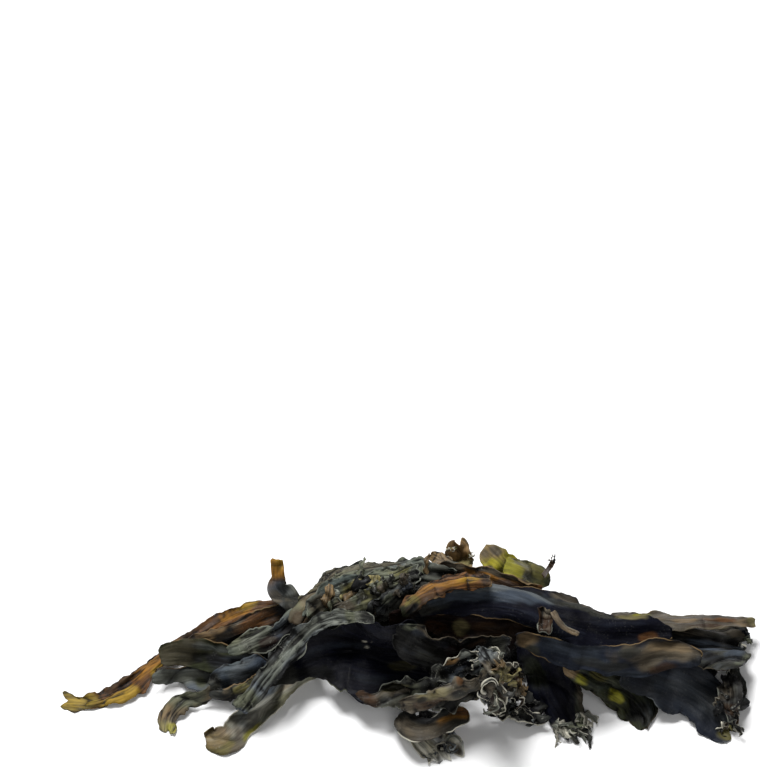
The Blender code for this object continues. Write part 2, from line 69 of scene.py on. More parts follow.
class Tone(Enum):
    """Linear colours found on dried wakame, from wet black to bleached tips."""

    INK = (0.0028, 0.0030, 0.0062)
    PITCH = (0.0055, 0.0056, 0.0060)
    NAVY = (0.0095, 0.0115, 0.0160)
    SLATE = (0.032, 0.040, 0.052)
    STEEL = (0.066, 0.073, 0.075)
    ASH = (0.125, 0.130, 0.108)
    PALE = (0.380, 0.365, 0.300)
    SAGE = (0.062, 0.066, 0.044)
    DRAB = (0.022, 0.022, 0.018)
    MOSS = (0.015, 0.017, 0.008)
    OLIVE = (0.085, 0.075, 0.020)
    LEAF = (0.150, 0.140, 0.012)
    STRAW = (0.250, 0.160, 0.018)
    AMBER = (0.170, 0.078, 0.010)
    RUST = (0.080, 0.034, 0.010)
    UMBER = (0.030, 0.016, 0.008)
    TAN = (0.135, 0.092, 0.046)
    KHAKI = (0.165, 0.142, 0.062)
    TAUPE = (0.055, 0.045, 0.031)
    MAROON = (0.011, 0.0055, 0.0042)


(INK, PITCH, NAVY, SLATE, STEEL, ASH, PALE, SAGE, DRAB, MOSS,
 OLIVE, LEAF, STRAW, AMBER, RUST, UMBER, TAN, KHAKI, TAUPE, MAROON) = Tone


class Slot(Enum):
    """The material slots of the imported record."""

    DARK = "dark_blade"
    GREY = "grey_blade"
    AMBER = "amber_blade"
    OLIVE = "olive_blade"


@dataclass(frozen=True)
class Skin:
    """How one kind of blade folds, crinkles, tears and takes the light, with the tone of its painted crest
    highlight and of its pale rim, which is partly a painted highlight. Lengths are in millimetres.
    """

    name: str
    # crest is the tone of the painted highlight on crests; rim is the tone of a pale rim that is partly the
    # blade's own paler edge and partly a painted highlight.
    crest: Tone
    rim: Tone
    rims: Pair = (0.3, 0.5)
    fold_gap: float = 3.4
    fold: float = 0.5
    wrinkle: float = 0.26
    crumple: float = 0.12
    flutter: float = 0.5
    lip: float = 0.5
    rag: float = 0.9
    roughness: float = 0.5
    specular: float = 0.2
    mottle: float = 0.35
    # This also scales the painted shade in valleys.
    lines: float = 1.0
    fleck: float = 0.15
    # How much of the painted crest highlight shows.
    highlight_share: float = 0.5


# Each skin's first tone is its painted crest highlight, and its second the tone of its partly painted pale rim.
WET_SHEET = Skin("wet_sheet", NAVY, SAGE, rims=(0.1, 0.3), fold_gap=7.0, fold=0.6, wrinkle=0.2, crumple=0.08,
                 flutter=0.25, lip=0.3, rag=0.8, specular=0.08, mottle=0.3, lines=0.6, fleck=0.02)
DARK_BLADE = Skin("dark_blade_skin", SLATE, TAUPE, rims=(0.15, 0.45), fold_gap=4.5, fold=0.9, wrinkle=0.36,
                  crumple=0.1, flutter=0.3, rag=0.8, specular=0.1, fleck=0.05, highlight_share=0.6)
GREY_STRAP = Skin("grey_strap", ASH, ASH, rims=(0.35, 0.55), fold_gap=2.8, fold=0.9, wrinkle=0.52,
                  flutter=0.35, rag=0.8, roughness=0.62, specular=0.12, fleck=0.2, highlight_share=0.7)
THIN_TIP = Skin("thin_tip", TAN, TAN, rims=(0.2, 0.4), fold_gap=2.6, fold=0.7, wrinkle=0.42, flutter=0.35,
                roughness=0.55, specular=0.15, mottle=0.45, fleck=0.08, highlight_share=0.45)
CLEAN_TIP = replace(THIN_TIP, name="clean_tip", fold_gap=5.0, fold=0.5, wrinkle=0.2, flutter=0.2, lip=0.3,
                    rag=0.35, mottle=0.3, lines=0.5, highlight_share=0.3)
PALE_TIP = replace(CLEAN_TIP, name="pale_tip", rim=PALE)
CRISP_FRILL = Skin("crisp_frill", ASH, ASH, rims=(0.45, 0.6), fold_gap=2.6, fold=0.6, wrinkle=0.4,
                   crumple=0.75, flutter=0.9, lip=0.7, rag=1.3, specular=0.16)
PALE_FRILL = replace(CRISP_FRILL, name="pale_frill", rim=PALE, rims=(0.8, 0.9), fleck=0.4)
PALE_LEAF = replace(PALE_FRILL, name="pale_leaf", fold_gap=4.0, wrinkle=0.3, crumple=0.3, flutter=0.4,
                    lip=0.5, rag=0.7, mottle=0.4, lines=0.6)
SMOOTH_SHEET = Skin("smooth_sheet", SLATE, STEEL, fold_gap=9.0, fold=0.4, wrinkle=0.12, crumple=0.06,
                    flutter=0.2, lip=0.3, rag=0.7, specular=0.12, mottle=0.15, lines=0.35, fleck=0.04,
                    highlight_share=0.3)
SATIN_RIDGE = replace(SMOOTH_SHEET, name="satin_ridge", rim=TAN, fold_gap=6.0, fold=0.8, wrinkle=0.22,
                      rag=0.4, roughness=0.58, specular=0.05, mottle=0.3, lines=0.5, highlight_share=0.35)
UNDERSIDE = Skin("underside", DRAB, SAGE, rims=(0.1, 0.1), crumple=0.2, specular=0.1)


@dataclass(frozen=True)
class Spot:
    """A patch of another tone on a blade; a few are painted glints, sheen and shade.

    It says where along and across the blade, its half width in millimetres, how strong it is, and how many
    times longer it is than wide.
    """

    along: float
    across: float
    size: float
    tone: Tone
    strength: float = 1.0
    stretch: float = 1.0


@dataclass(frozen=True)
class Tear:
    """A notch torn into the tip or the root: where across, how wide, and how deep in millimetres."""

    at_tip: bool
    across: float
    width: float
    depth: float


@dataclass(frozen=True)
class Laying:
    """How blades rest on one another, in millimetres and degrees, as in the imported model."""

    thickness: float = 0.68
    clearance: float = 0.7
    look_down: float = 50.0
    flat_press: float = 0.5
    height_blend: float = 1.2
    table_setback: float = 12.0
    steepest_share: float = 0.42
    map_cell: float = 0.75
    map_across: Pair = (-114.0, 114.0)
    map_up: Pair = (-8.0, 78.0)
    raise_samples: int = 6


@dataclass(frozen=True)
class Cut:
    """How a blade is divided and rounded, in millimetres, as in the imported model, and how much finer here."""

    cell_length: float = 4.3
    cell_width: float = 2.4
    least_cells: int = 5
    least_pairs: int = 2
    waves: int = 3
    wave_turns: Pair = (0.7, 1.3)
    route_samples: int = 12
    profile_samples: int = 96
    arch_varies: float = 0.3
    pleats_drift: float = 2.2
    roll_starts: float = 0.35
    roll_varies: float = 0.5
    twist: float = 10.0
    end_width: float = 0.45
    rounding: float = 0.6
    least_width: float = 1.3
    tightest_bend: float = 0.8
    ruffle_length: float = 12.0
    scallop_share: float = 0.13
    scallops_per_ruffle: float = 0.7
    square_end_width: float = 0.7
    square_rounding: float = 0.35
    finer: int = 8
    wall: float = 0.22


@dataclass(frozen=True)
class Relief:
    """How a fine sheet is torn, crinkled and toned. Lengths are in millimetres."""

    ruffle_level: float = 0.5
    ruffle_most: float = 1.4
    bay_half: float = 3.0
    bay_limits: Pair = (-0.34, 0.3)
    end_depth: float = 1.4
    end_half: float = 2.5
    end_fade: float = 2.6
    end_fade_least: float = 1.0
    normal_blur: int = 2
    ridge_level: float = 0.45
    dent_slant: float = 0.6
    zone_level: float = 0.85
    zone_limits: Pair = (0.1, 1.6)
    zone_swap: float = 1.7
    flutter_reach: float = 2.6
    lip_width: float = 1.1
    lip_level: float = 0.5
    lip_limits: Pair = (-0.6, 1.0)
    narrow_half: float = 3.5
    narrow_least: float = 0.2
    rim_starts: Pair = (1.0, 6.0)
    spot_fade: Pair = (0.55, 1.15)
    warm_swing: tuple[float, float, float] = (0.17, 0.10, -0.12)
    blade_step: float = 37.0
    place_unit: float = 10.0


LAYING = Laying()
CUT = Cut()
RELIEF = Relief()
NIBBLE_SEED = 1000
END_SEED = 2000
SHEET_SEED = 3000
CURL_SEED = 5000


def wander(t: Grid, draw: random.Random) -> Grid:
    """A smooth seeded line of values from about -1 to 1.

    Args:
        t: Where to read the line, from 0 to 1.
        draw: The seeded source of its phases.

    Returns:
        The line's values at t.
    """
    total = np.zeros_like(t, dtype=float)
    for n in range(CUT.waves):
        turns = (n + 1) * draw.uniform(*CUT.wave_turns)
        total = total + np.sin(2 * math.pi * (turns * t + draw.random())) / (n + 1)
    return total / sum(1 / (n + 1) for n in range(CUT.waves))


def lengths(points: Grid) -> Grid:
    """Distances walked along a row of points, starting at 0."""
    steps = np.linalg.norm(np.diff(points, axis=0), axis=1)
    return np.concatenate([[0.0], np.cumsum(steps)])


def smooth_route(stations: tuple, count: int) -> Grid:
    """Joins the stations by one Catmull-Rom curve.

    Args:
        stations: Rows of across, up, height and width, in millimetres.
        count: How many steps to cut the curve into.

    Returns:
        Evenly spaced rows, one more than count.
    """
    points = np.array(stations, float)
    knots = lengths(points[:, :2])
    slopes = np.gradient(points, knots, axis=0)
    fine = np.linspace(0, knots[-1], CUT.route_samples * count + 1)
    piece = np.clip(np.searchsorted(knots, fine, side="right") - 1, 0, len(knots) - 2)
    span = (knots[piece + 1] - knots[piece])[:, None]
    t = ((fine - knots[piece]) / span[:, 0])[:, None]
    curve = (
        (2 * t**3 - 3 * t**2 + 1) * points[piece]
        + (t**3 - 2 * t**2 + t) * span * slopes[piece]
        + (3 * t**2 - 2 * t**3) * points[piece + 1]
        + (t**3 - t**2) * span * slopes[piece + 1]
    )
    walked = lengths(curve[:, :2])
    even = np.linspace(0, walked[-1], count + 1)
    return np.stack([np.interp(even, walked, column) for column in curve.T], axis=1)


def unit(vectors: Grid) -> Grid:
    """The vectors at a length of 1."""
    return vectors / np.maximum(np.linalg.norm(vectors, axis=-1, keepdims=True), TINY)


def near_edge(v: Grid, edge: int) -> Grid:
    """How near places across are to one edge, from 0 in the middle to 1 there."""
    return np.clip(edge * v[None, :], 0, 1) ** 2


def rolled(v: Grid) -> Grid:
    """How far places across take part in the roll of the high edge, from 0 to 1."""
    return np.clip((v - CUT.roll_starts) / (1 - CUT.roll_starts), 0, 1) ** 2


def blurred(grid: Grid, cells: int, axes: tuple[int, ...] = (0, 1)) -> Grid:
    """The grid with every value replaced by the mean of those round it.

    Args:
        grid: Values over two axes, with any number of further ones.
        cells: How far round each value to look, in cells.
        axes: The axes to look along.

    Returns:
        A grid of the same shape.
    """
    for axis in axes:
        width = [(0, 0)] * grid.ndim
        width[axis] = (cells + 1, cells)
        sums = np.cumsum(np.pad(grid, width, mode="edge"), axis=axis)
        count = grid.shape[axis]
        ahead = np.take(sums, range(2 * cells + 1, 2 * cells + 1 + count), axis=axis)
        behind = np.take(sums, range(count), axis=axis)
        grid = (ahead - behind) / (2 * cells + 1)
    return grid


def ease(low: float, high: float, value: Grid) -> Grid:
    """A smooth step from 0 at low to 1 at high."""
    share = np.clip((value - low) / (high - low), 0, 1)
    return share * share * (3 - 2 * share)


@dataclass(frozen=True)
class Ripple:
    """One layer of noise: its features' length and width in millimetres, and which of many patterns it reads.

    Share is how strong it is, and sway is how far it follows the warp that it is read with. A bent one runs
    across in straight stretches with sharp bends, as folded paper does.
    """

    length: float
    width: float
    pattern: int
    share: float = 1.0
    sway: float = 0.0
    bent: bool = False


class Grain:
    """Seeded smooth noise over a strip, from about -1 to 1."""

    size: int = 64
    pattern_steps: Pair = (17.37, 7.13)
    smooth_gain: float = 2.0
    bent_gain: float = 1.7
    most: float = 1.2

    def __init__(self, seed: int) -> None:
        """Fills the table that the noise is read from."""
        self.table = np.random.default_rng(seed).uniform(-1, 1, (self.size, self.size))

    def plain(self, s: Grid, t: Grid, ripple: Ripple, step: int = 0) -> Grid:
        """Reads a ripple, leaving its share and its sway aside.

        Args:
            s: Distances along the strip, in millimetres.
            t: Distances across it, in millimetres.
            ripple: The ripple to read.
            step: How many patterns on from the ripple's own to read.

        Returns:
            Values from about -1 to 1.
        """
        pattern = ripple.pattern + step
        a = s / ripple.length + self.pattern_steps[0] * pattern
        b = t / ripple.width + self.pattern_steps[1] * pattern
        i, j = np.floor(a).astype(int), np.floor(b).astype(int)
        total = np.zeros(np.broadcast(a, b).shape)
        for m, along in enumerate(self.spline(a - i)):
            for n, across in enumerate((self.straight if ripple.bent else self.spline)(b - j)):
                total = total + along * across * self.table[(i + m) % self.size, (j + n) % self.size]
        return np.clip((self.bent_gain if ripple.bent else self.smooth_gain) * total, -self.most, self.most)

    def at(self, s: Grid, t: Grid, ripple: Ripple, step: int = 0) -> Grid:
        """A ripple by its share, read as plain does."""
        return ripple.share * self.plain(s, t, ripple, step)

    def total(self, s: Grid, t: Grid, ripples: tuple[Ripple, ...], step: int = 0) -> Grid:
        """Several ripples by their shares, added up."""
        return sum(self.at(s, t, ripple, step) for ripple in ripples)

    @staticmethod
    def straight(f: Grid) -> tuple[Grid, ...]:
        """The two weights of a straight line at the share f of a cell."""
        return 1 - f, f

    @staticmethod
    def spline(f: Grid) -> tuple[Grid, ...]:
        """The four weights of a cubic B-spline at the share f of a cell."""
        middle = (3 * f**3 - 6 * f**2 + 4) / 6, (-3 * f**3 + 3 * f**2 + 3 * f + 1) / 6
        return (1 - f) ** 3 / 6, *middle, f**3 / 6


RUFFLE_PATCHES = Ripple(13.0, 1.0, 2)
BAYS = (Ripple(1.0, 5.5, 0, 1.2, bent=True), Ripple(1.0, 2.4, 2, 0.7, bent=True),
        Ripple(1.0, 0.9, 4, 0.35, bent=True))
TORN_ENDS = (Ripple(1.0, 2.6, 5, bent=True), Ripple(1.0, 0.9, 8, 0.6, bent=True))
FOLD_WARP = (Ripple(14.0, 7.0, 10, 2.0), Ripple(4.0, 3.0, 11, 0.5))
FOLDS = (Ripple(26.0, 1.0, 13, 1.25, 1.0, bent=True), Ripple(15.0, 0.45, 16, 0.5, 0.6, bent=True))
WRINKLE_WARP = Ripple(9.0, 6.0, 1)
WRINKLES = (Ripple(11.0, 1.9, 3, 1.0, 1.2), Ripple(7.0, 1.0, 4, 0.7, 0.9), Ripple(5.0, 0.6, 17, 0.35, 0.7))
ZONES = Ripple(15.0, 8.0, 2, 0.8)
DENT_WARP = Ripple(5.0, 5.0, 1, 1.5)
DENTS = (Ripple(4.2, 3.0, 5, bent=True), Ripple(3.6, 2.6, 6, 0.8, bent=True),
         Ripple(2.0, 1.3, 7, 0.4, bent=True))
FLUTTERS = (Ripple(1.6, 3.4, 8, bent=True), Ripple(1.6, 1.5, 18, 0.6, bent=True))
LIP_TURNS = Ripple(9.0, 1.6, 9, 1.2)
RIM_BREAKS = Ripple(4.5, 1.6, 12, 0.8)
WARMTH = (Ripple(12.0, 3.5, 14), Ripple(3.5, 1.6, 15, 0.5))
SPOT_EDGES = (Ripple(4.0, 3.0, 20, 0.30), Ripple(1.5, 1.2, 40, 0.16))
HOLE_EDGES = Ripple(2.4, 1.8, 60, 0.35)


@dataclass(frozen=True)
class Blade:
    """One dried strip, with its skin and tone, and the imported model's own stations.

    A station is (across, up, high, width) in millimetres: to the right of the bundle's middle, up the view
    from above, the least height above the table, and the strip's full width. The low edge is the one on
    the right of the route, and the high edge is the one on its left. Tilt, arch and both curls turn the
    cross-section, in degrees. Pleats are half waves across with their steepness, ruffle is the height of
    the edges' waves, and reach is how far around itself the strip looks for what it rests on. A spot
    gives the values of a Spot, and a hole its place along and across and its radius in millimetres.
    """

    name: str
    slot: Slot
    skin: Skin
    tone: Tone
    stations: tuple
    tilt: float = 0.0
    arch: float = 40.0
    curl_low: float = 0.0
    curl_high: float = 0.0
    pleats: Pair = (1.5, 25)
    ruffle: float = 0.8
    reach: float = 5.0
    spots: tuple[tuple, ...] = ()
    tears: tuple[Tear, ...] = ()
    holes: tuple[tuple[float, float, float], ...] = ()
    # How strongly the pale rim, partly a painted highlight, shows on the low and the high edge; unset, the
    # skin's own.
    rims: Pair | None = None

    def divisions(self) -> tuple[int, int]:
        """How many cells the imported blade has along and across."""
        points = np.array(self.stations, float)
        along = max(CUT.least_cells, round(lengths(points[:, :2])[-1] / CUT.cell_length))
        across = 2 * max(CUT.least_pairs, round(points[:, 3].max() / CUT.cell_width / 2))
        return along, across

    def profile(self, along: int, draw: random.Random) -> tuple[Grid, Grid, Grid]:
        """The cross-section at each row.

        Args:
            along: How many cells the blade has along.
            draw: The seeded source of its wandering.

        Returns:
            Places across from -1 to 1, and the sideways and upward distances as shares of the half width.
        """
        v = np.linspace(-1, 1, CUT.profile_samples + 1)[None, :]
        u = np.linspace(0, 1, along + 1)[:, None]
        folds, fold_angle = self.pleats
        slope = (
            self.tilt
            - self.arch / 2 * v * (1 + CUT.arch_varies * wander(u, draw))
            + fold_angle * np.sin(math.pi * folds * v + CUT.pleats_drift * wander(u, draw))
            + self.curl_high * rolled(v) * (1 + CUT.roll_varies * wander(u, draw))
            - self.curl_low * rolled(-v) * (1 + CUT.roll_varies * wander(u, draw))
            + CUT.twist * wander(u, draw)
        )
        angle = np.radians(slope)
        step = v[0, 1] - v[0, 0]
        start = np.zeros((along + 1, 1))
        sideways, upward = (
            np.concatenate([start, np.cumsum((f[:, 1:] + f[:, :-1]) / 2 * step, axis=1)], axis=1)
            for f in (np.cos(angle), np.sin(angle))
        )
        middle = CUT.profile_samples // 2
        return v[0], sideways - sideways[:, middle : middle + 1], upward

    def loose(self, seed: int, fine: bool) -> Loose:
        """The blade before it is laid down.

        Args:
            seed: The blade's number in the bundle.
            fine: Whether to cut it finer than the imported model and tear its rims.

        Returns:
            Grids of across, up, least height and rise, in millimetres.
        """
        draw = random.Random(seed)
        along, across = (cells * (CUT.finer if fine else 1) for cells in self.divisions())
        route = smooth_route(self.stations, along)
        tangent = unit(np.gradient(route[:, :2], axis=0))
        fine_v, sideways, upward = self.profile(along, draw)
        v = np.linspace(-1, 1, across + 1)
        u = np.linspace(0, 1, along + 1)[:, None]
        half = rounded_width(route, fine)[:, None] / 2
        side = half * np.array([np.interp(v, fine_v, row) for row in sideways])
        rise = half * np.array([np.interp(v, fine_v, row) for row in upward])
        walked = lengths(route[:, :2])[:, None]
        waves = walked[-1, 0] / CUT.ruffle_length
        for edge in (-1, 1):
            share = near_edge(v, edge)
            if fine:
                patches = Grain(seed).at(walked, walked * 0, RUFFLE_PATCHES, edge)
                share = share * np.clip(RELIEF.ruffle_level + patches, 0, RELIEF.ruffle_most)
            phase = 2 * math.pi * (waves * u + draw.random()) + wander(u, draw)
            rise = rise + self.ruffle * share * np.sin(phase)
            scallops = np.sin(CUT.scallops_per_ruffle * phase + draw.random())
            side = side * (1 + CUT.scallop_share * share * scallops)
        rise = rise - rise.min(axis=1, keepdims=True)
        slip = np.zeros_like(side)
        if fine:
            side = side * self.nibbled(seed, walked, v, half)
            slip = self.torn_ends(seed, walked, v, half)
        side = inside_bends(side, route, tangent)
        x = route[:, :1] - tangent[:, 1:] * side + tangent[:, :1] * slip
        up = route[:, 1:2] + tangent[:, :1] * side + tangent[:, 1:] * slip
        return x, up, np.broadcast_to(route[:, 2:3], x.shape), rise

    def nibbled(self, seed: int, walked: Grid, v: Grid, half: Grid) -> Grid:
        """Makes both edges uneven, with small bays and teeth.

        Args:
            seed: The blade's number in the bundle.
            walked: Distances along the blade, in millimetres.
            v: Places across, from -1 to 1.
            half: Half the blade's width at each row, in millimetres.

        Returns:
            Factors on the sideways distances.
        """
        grain = Grain(NIBBLE_SEED + seed)
        factor = np.ones((len(walked), len(v)))
        for step, edge in enumerate((-1, 1)):
            bite = self.skin.rag * grain.total(walked * 0, walked, BAYS, step)
            share = np.clip(bite / np.maximum(half, RELIEF.bay_half), *RELIEF.bay_limits)
            factor = factor + share * near_edge(v, edge)
        return factor

    def torn_ends(self, seed: int, walked: Grid, v: Grid, half: Grid) -> Grid:
        """Makes both ends ragged, and notched where the blade has tears.

        Args:
            seed: The blade's number in the bundle.
            walked: Distances along the blade, in millimetres.
            v: Places across, from -1 to 1.
            half: Half the blade's width at each row, in millimetres.

        Returns:
            How far each point slips along the blade, in millimetres.
        """
        grain = Grain(END_SEED + seed)
        slip = np.zeros((len(walked), len(v)))
        for at_tip in (False, True):
            end_half = half[-1 if at_tip else 0, 0]
            t = v * end_half
            depth = RELIEF.end_depth * self.skin.rag * min(1.0, end_half / RELIEF.end_half)
            ragged = depth * grain.total(t * 0, t, TORN_ENDS, int(at_tip))
            for tear in self.tears:
                if tear.at_tip == at_tip:
                    ragged = ragged - tear.depth * np.clip(1 - np.abs(v - tear.across) / tear.width, 0, 1)
            fade = RELIEF.end_fade * np.abs(ragged).max() + RELIEF.end_fade_least
            away = walked[-1] - walked if at_tip else walked
            share = np.clip(1 - away / fade, 0, 1) ** 2
            slip = slip + (1 if at_tip else -1) * share * ragged[None, :]
        return slip


def rounded_width(route: Grid, squarer: bool) -> Grid:
    """The strip's width with both ends rounded off.

    Args:
        route: The route's rows.
        squarer: Whether to round them less.

    Returns:
        The width at each row, in millimetres.
    """
    end_width = CUT.square_end_width if squarer else CUT.end_width
    rounding = CUT.square_rounding if squarer else CUT.rounding
    walked = lengths(route[:, :2])
    width = route[:, 3]
    share = np.clip(np.minimum(walked, walked[-1] - walked) / (width * rounding), 0, 1)
    rounded = width * (end_width + (1 - end_width) * np.sqrt(1 - (1 - share) ** 2))
    return np.maximum(rounded, CUT.least_width)


def inside_bends(side: Grid, route: Grid, tangent: Grid) -> Grid:
    """Draws the rows in on the inside of tight bends so that they never cross.

    Args:
        side: The sideways distances, in millimetres.
        route: The route's rows.
        tangent: The route's direction at each row.

    Returns:
        The sideways distances to use.
    """
    heading = np.unwrap(np.arctan2(tangent[:, 1], tangent[:, 0]))
    bend = np.gradient(heading, lengths(route[:, :2]))[:, None]
    share = side * bend / CUT.tightest_bend
    bent = np.abs(bend) > STRAIGHT_BEND
    drawn = np.divide(np.tanh(share) * CUT.tightest_bend, bend, out=side.copy(), where=bent)
    return np.where(share > 0, drawn, side)


def facing_share(x: Grid, up: Grid, towards: Grid) -> Grid:
    """The cosine of the angle between the view and the sheet's own direction.

    Args:
        x: The points' places to the right, in millimetres.
        up: Their places up the view.
        towards: Their places towards the viewer.

    Returns:
        The cosine at each point, not below the steepest that is let count.
    """
    surface = np.stack([x, up, towards], axis=2)
    normal = np.cross(np.gradient(surface, axis=0), np.gradient(surface, axis=1))
    return np.maximum(np.abs(unit(normal)[:, :, 2]), LAYING.steepest_share)


def refined(grid: Grid) -> Grid:
    """Cuts every cell of a grid into the map's samples.

    Args:
        grid: Values over rows and columns.

    Returns:
        A larger grid of the same values.
    """
    for _ in range(2):
        count = len(grid)
        places = np.linspace(0, count - 1, (count - 1) * LAYING.raise_samples + 1)
        low = np.minimum(places.astype(int), count - 2)
        share = (places - low)[:, None]
        grid = (grid[low] * (1 - share) + grid[low + 1] * share).T
    return grid


def pressed_flat(high: Grid) -> Grid:
    """The heights with all that is close to the table lying flat on it."""
    press = LAYING.flat_press
    return np.where(high < 2 * press, np.maximum(2 * (high - press), 0), high)


class Pile:
    """The heap so far, as a map of its height towards the viewer, over the view's across and up."""

    def __init__(self) -> None:
        """Starts with the bare table, set back from the viewer."""
        angle = math.radians(LAYING.look_down)
        self.sine, self.cosine = math.sin(angle), math.cos(angle)
        across = int((LAYING.map_across[1] - LAYING.map_across[0]) / LAYING.map_cell)
        up = np.arange(LAYING.map_up[0], LAYING.map_up[1], LAYING.map_cell)
        self.top = np.broadcast_to(self.towards(up, 0.0) - LAYING.table_setback, (across, len(up))).copy()

    def towards(self, up: Grid, high: Grid | float) -> Grid:
        """Distance towards the viewer of a point seen at up and high above the table."""
        return (high - up * self.cosine) / self.sine

    def on_table_axes(self, x: Grid, up: Grid, towards: Grid) -> Grid:
        """The points on the table's own axes: right, away from the viewer, and up."""
        y = up * self.sine - towards * self.cosine
        z = up * self.cosine + towards * self.sine
        return np.stack([x, y, z], axis=2)

    def place(self, x: Grid, up: Grid) -> tuple[Grid, Grid]:
        """The position on the map, in cells, of points on the view."""
        return (x - LAYING.map_across[0]) / LAYING.map_cell, (up - LAYING.map_up[0]) / LAYING.map_cell

    def cover(self, reach: float) -> Grid:
        """A smooth map that clears everything laid so far.

        Args:
            reach: How far round each point to look, in millimetres.

        Returns:
            Heights towards the viewer, over the map.
        """
        cells = max(2, round(reach / LAYING.map_cell))
        highest = self.top
        for axis in (0, 1):
            width = [(0, 0), (0, 0)]
            width[axis] = (cells, cells)
            padded = np.pad(highest, width, mode="edge")
            count = highest.shape[axis]
            shifts = [np.take(padded, range(n, n + count), axis=axis) for n in range(2 * cells + 1)]
            highest = np.maximum.reduce(shifts)
        for share in (cells // 2, cells - cells // 2):
            highest = blurred(highest, share)
        return highest

    def read(self, cover: Grid, x: Grid, up: Grid) -> Grid:
        """The cover's height, with the clearance.

        Args:
            cover: The map to read.
            x: The points' places to the right, in millimetres.
            up: Their places up the view.

        Returns:
            The height towards the viewer at each point.
        """
        i, j = self.place(x, up)
        i0, j0 = np.floor(i).astype(int), np.floor(j).astype(int)
        a, b = i - i0, j - j0
        return LAYING.clearance + (
            cover[i0, j0] * (1 - a) * (1 - b)
            + cover[i0 + 1, j0] * a * (1 - b)
            + cover[i0, j0 + 1] * (1 - a) * b
            + cover[i0 + 1, j0 + 1] * a * b
        )

    def under(self, cover: Grid, loose: Loose) -> Grid:
        """Lays a loose shape on the cover.

        Args:
            cover: The map of what it lies on.
            loose: The blade before it is laid down.

        Returns:
            The lower face's height towards the viewer.
        """
        x, up, high, rise = loose
        resting = self.read(cover, x, up)
        held = self.towards(up, high)
        return rise + (resting + held + np.sqrt((resting - held) ** 2 + LAYING.height_blend**2)) / 2

    def lay(self, blade: Blade, seed: int) -> tuple[Grid, Grid]:
        """Lays one blade down and raises the heap by it.

        Args:
            blade: The blade to lay.
            seed: Its number in the bundle.

        Returns:
            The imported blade's points and the fine sheet's points, on the table's axes, in millimetres.
        """
        cover = self.cover(blade.reach)
        coarse = blade.loose(seed, fine=False)
        lower = self.under(cover, coarse)
        upper = lower + LAYING.thickness / facing_share(coarse[0], coarse[1], lower)
        fine = blade.loose(seed, fine=True)
        under = self.under(cover, fine)
        half_wall = LAYING.thickness / 2 / facing_share(fine[0], fine[1], under)
        i, j = (np.floor(n).astype(int) for n in self.place(refined(coarse[0]), refined(coarse[1])))
        np.maximum.at(self.top, (i, j), refined(upper))
        box = np.concatenate([self.settle(coarse, lower, lower), self.settle(coarse, lower, upper)])
        return box, self.settle(fine, under, under + half_wall)

    def settle(self, loose: Loose, under: Grid, face: Grid) -> Grid:
        """Presses a face down as much as the lower face is.

        Args:
            loose: The blade before it is laid down.
            under: The lower face's height towards the viewer.
            face: The height of the face to press down.

        Returns:
            The face's points on the table's axes, in millimetres.
        """
        lowest = self.on_table_axes(loose[0], loose[1], under)[:, :, 2]
        points = self.on_table_axes(loose[0], loose[1], face)
        points[:, :, 2] += pressed_flat(lowest) - lowest
        return points


UNDERLAYERS = (
    Blade("table_sheet_left", Slot.DARK, UNDERSIDE, DRAB,
        ((-42, 36, 0, 8), (-30, 37, 0, 14), (-12, 36, 0, 20), (6, 35, 0, 22), (26, 35, 0, 18)), arch=-10,
        pleats=(1.5, 20), reach=7),
    Blade("table_sheet_right", Slot.DARK, UNDERSIDE, PITCH,
        ((14, 37, 0, 14), (34, 37, 0, 20), (54, 35, 0, 20), (76, 33, 0, 21), (92, 33, 0, 16)), arch=-10,
        pleats=(1.5, 20), reach=7),
    Blade("back_sheet", Slot.DARK, UNDERSIDE, DRAB,
        ((-26, 48, 0, 8), (-9, 52, 0, 12), (12, 51, 0, 13), (33, 47, 0, 13), (57, 42, 0, 8)), arch=20,
        reach=7, spots=((0.5, 0, 14, MOSS), (0.9, 0, 8, TAUPE))),
    Blade("back_roll", Slot.DARK, UNDERSIDE, NAVY,
        ((-22, 48, 2, 7), (-8, 52, 4, 10), (8, 53.5, 5, 11), (24, 51.5, 5, 10), (40, 46, 4, 9),
        (56, 42.5, 2, 6)), arch=120, curl_low=40, curl_high=40, pleats=(1.5, 35),
        spots=((0.3, 0.4, 10, DRAB), (0.75, 0.2, 9, TAUPE))),
    Blade("inner_roll", Slot.DARK, UNDERSIDE, PITCH,
        ((18, 40, 1, 8), (36, 39, 2, 12), (54, 38, 2, 14), (70, 37, 2, 12), (84, 36, 1, 8)), arch=60,
        pleats=(2, 25)),
)

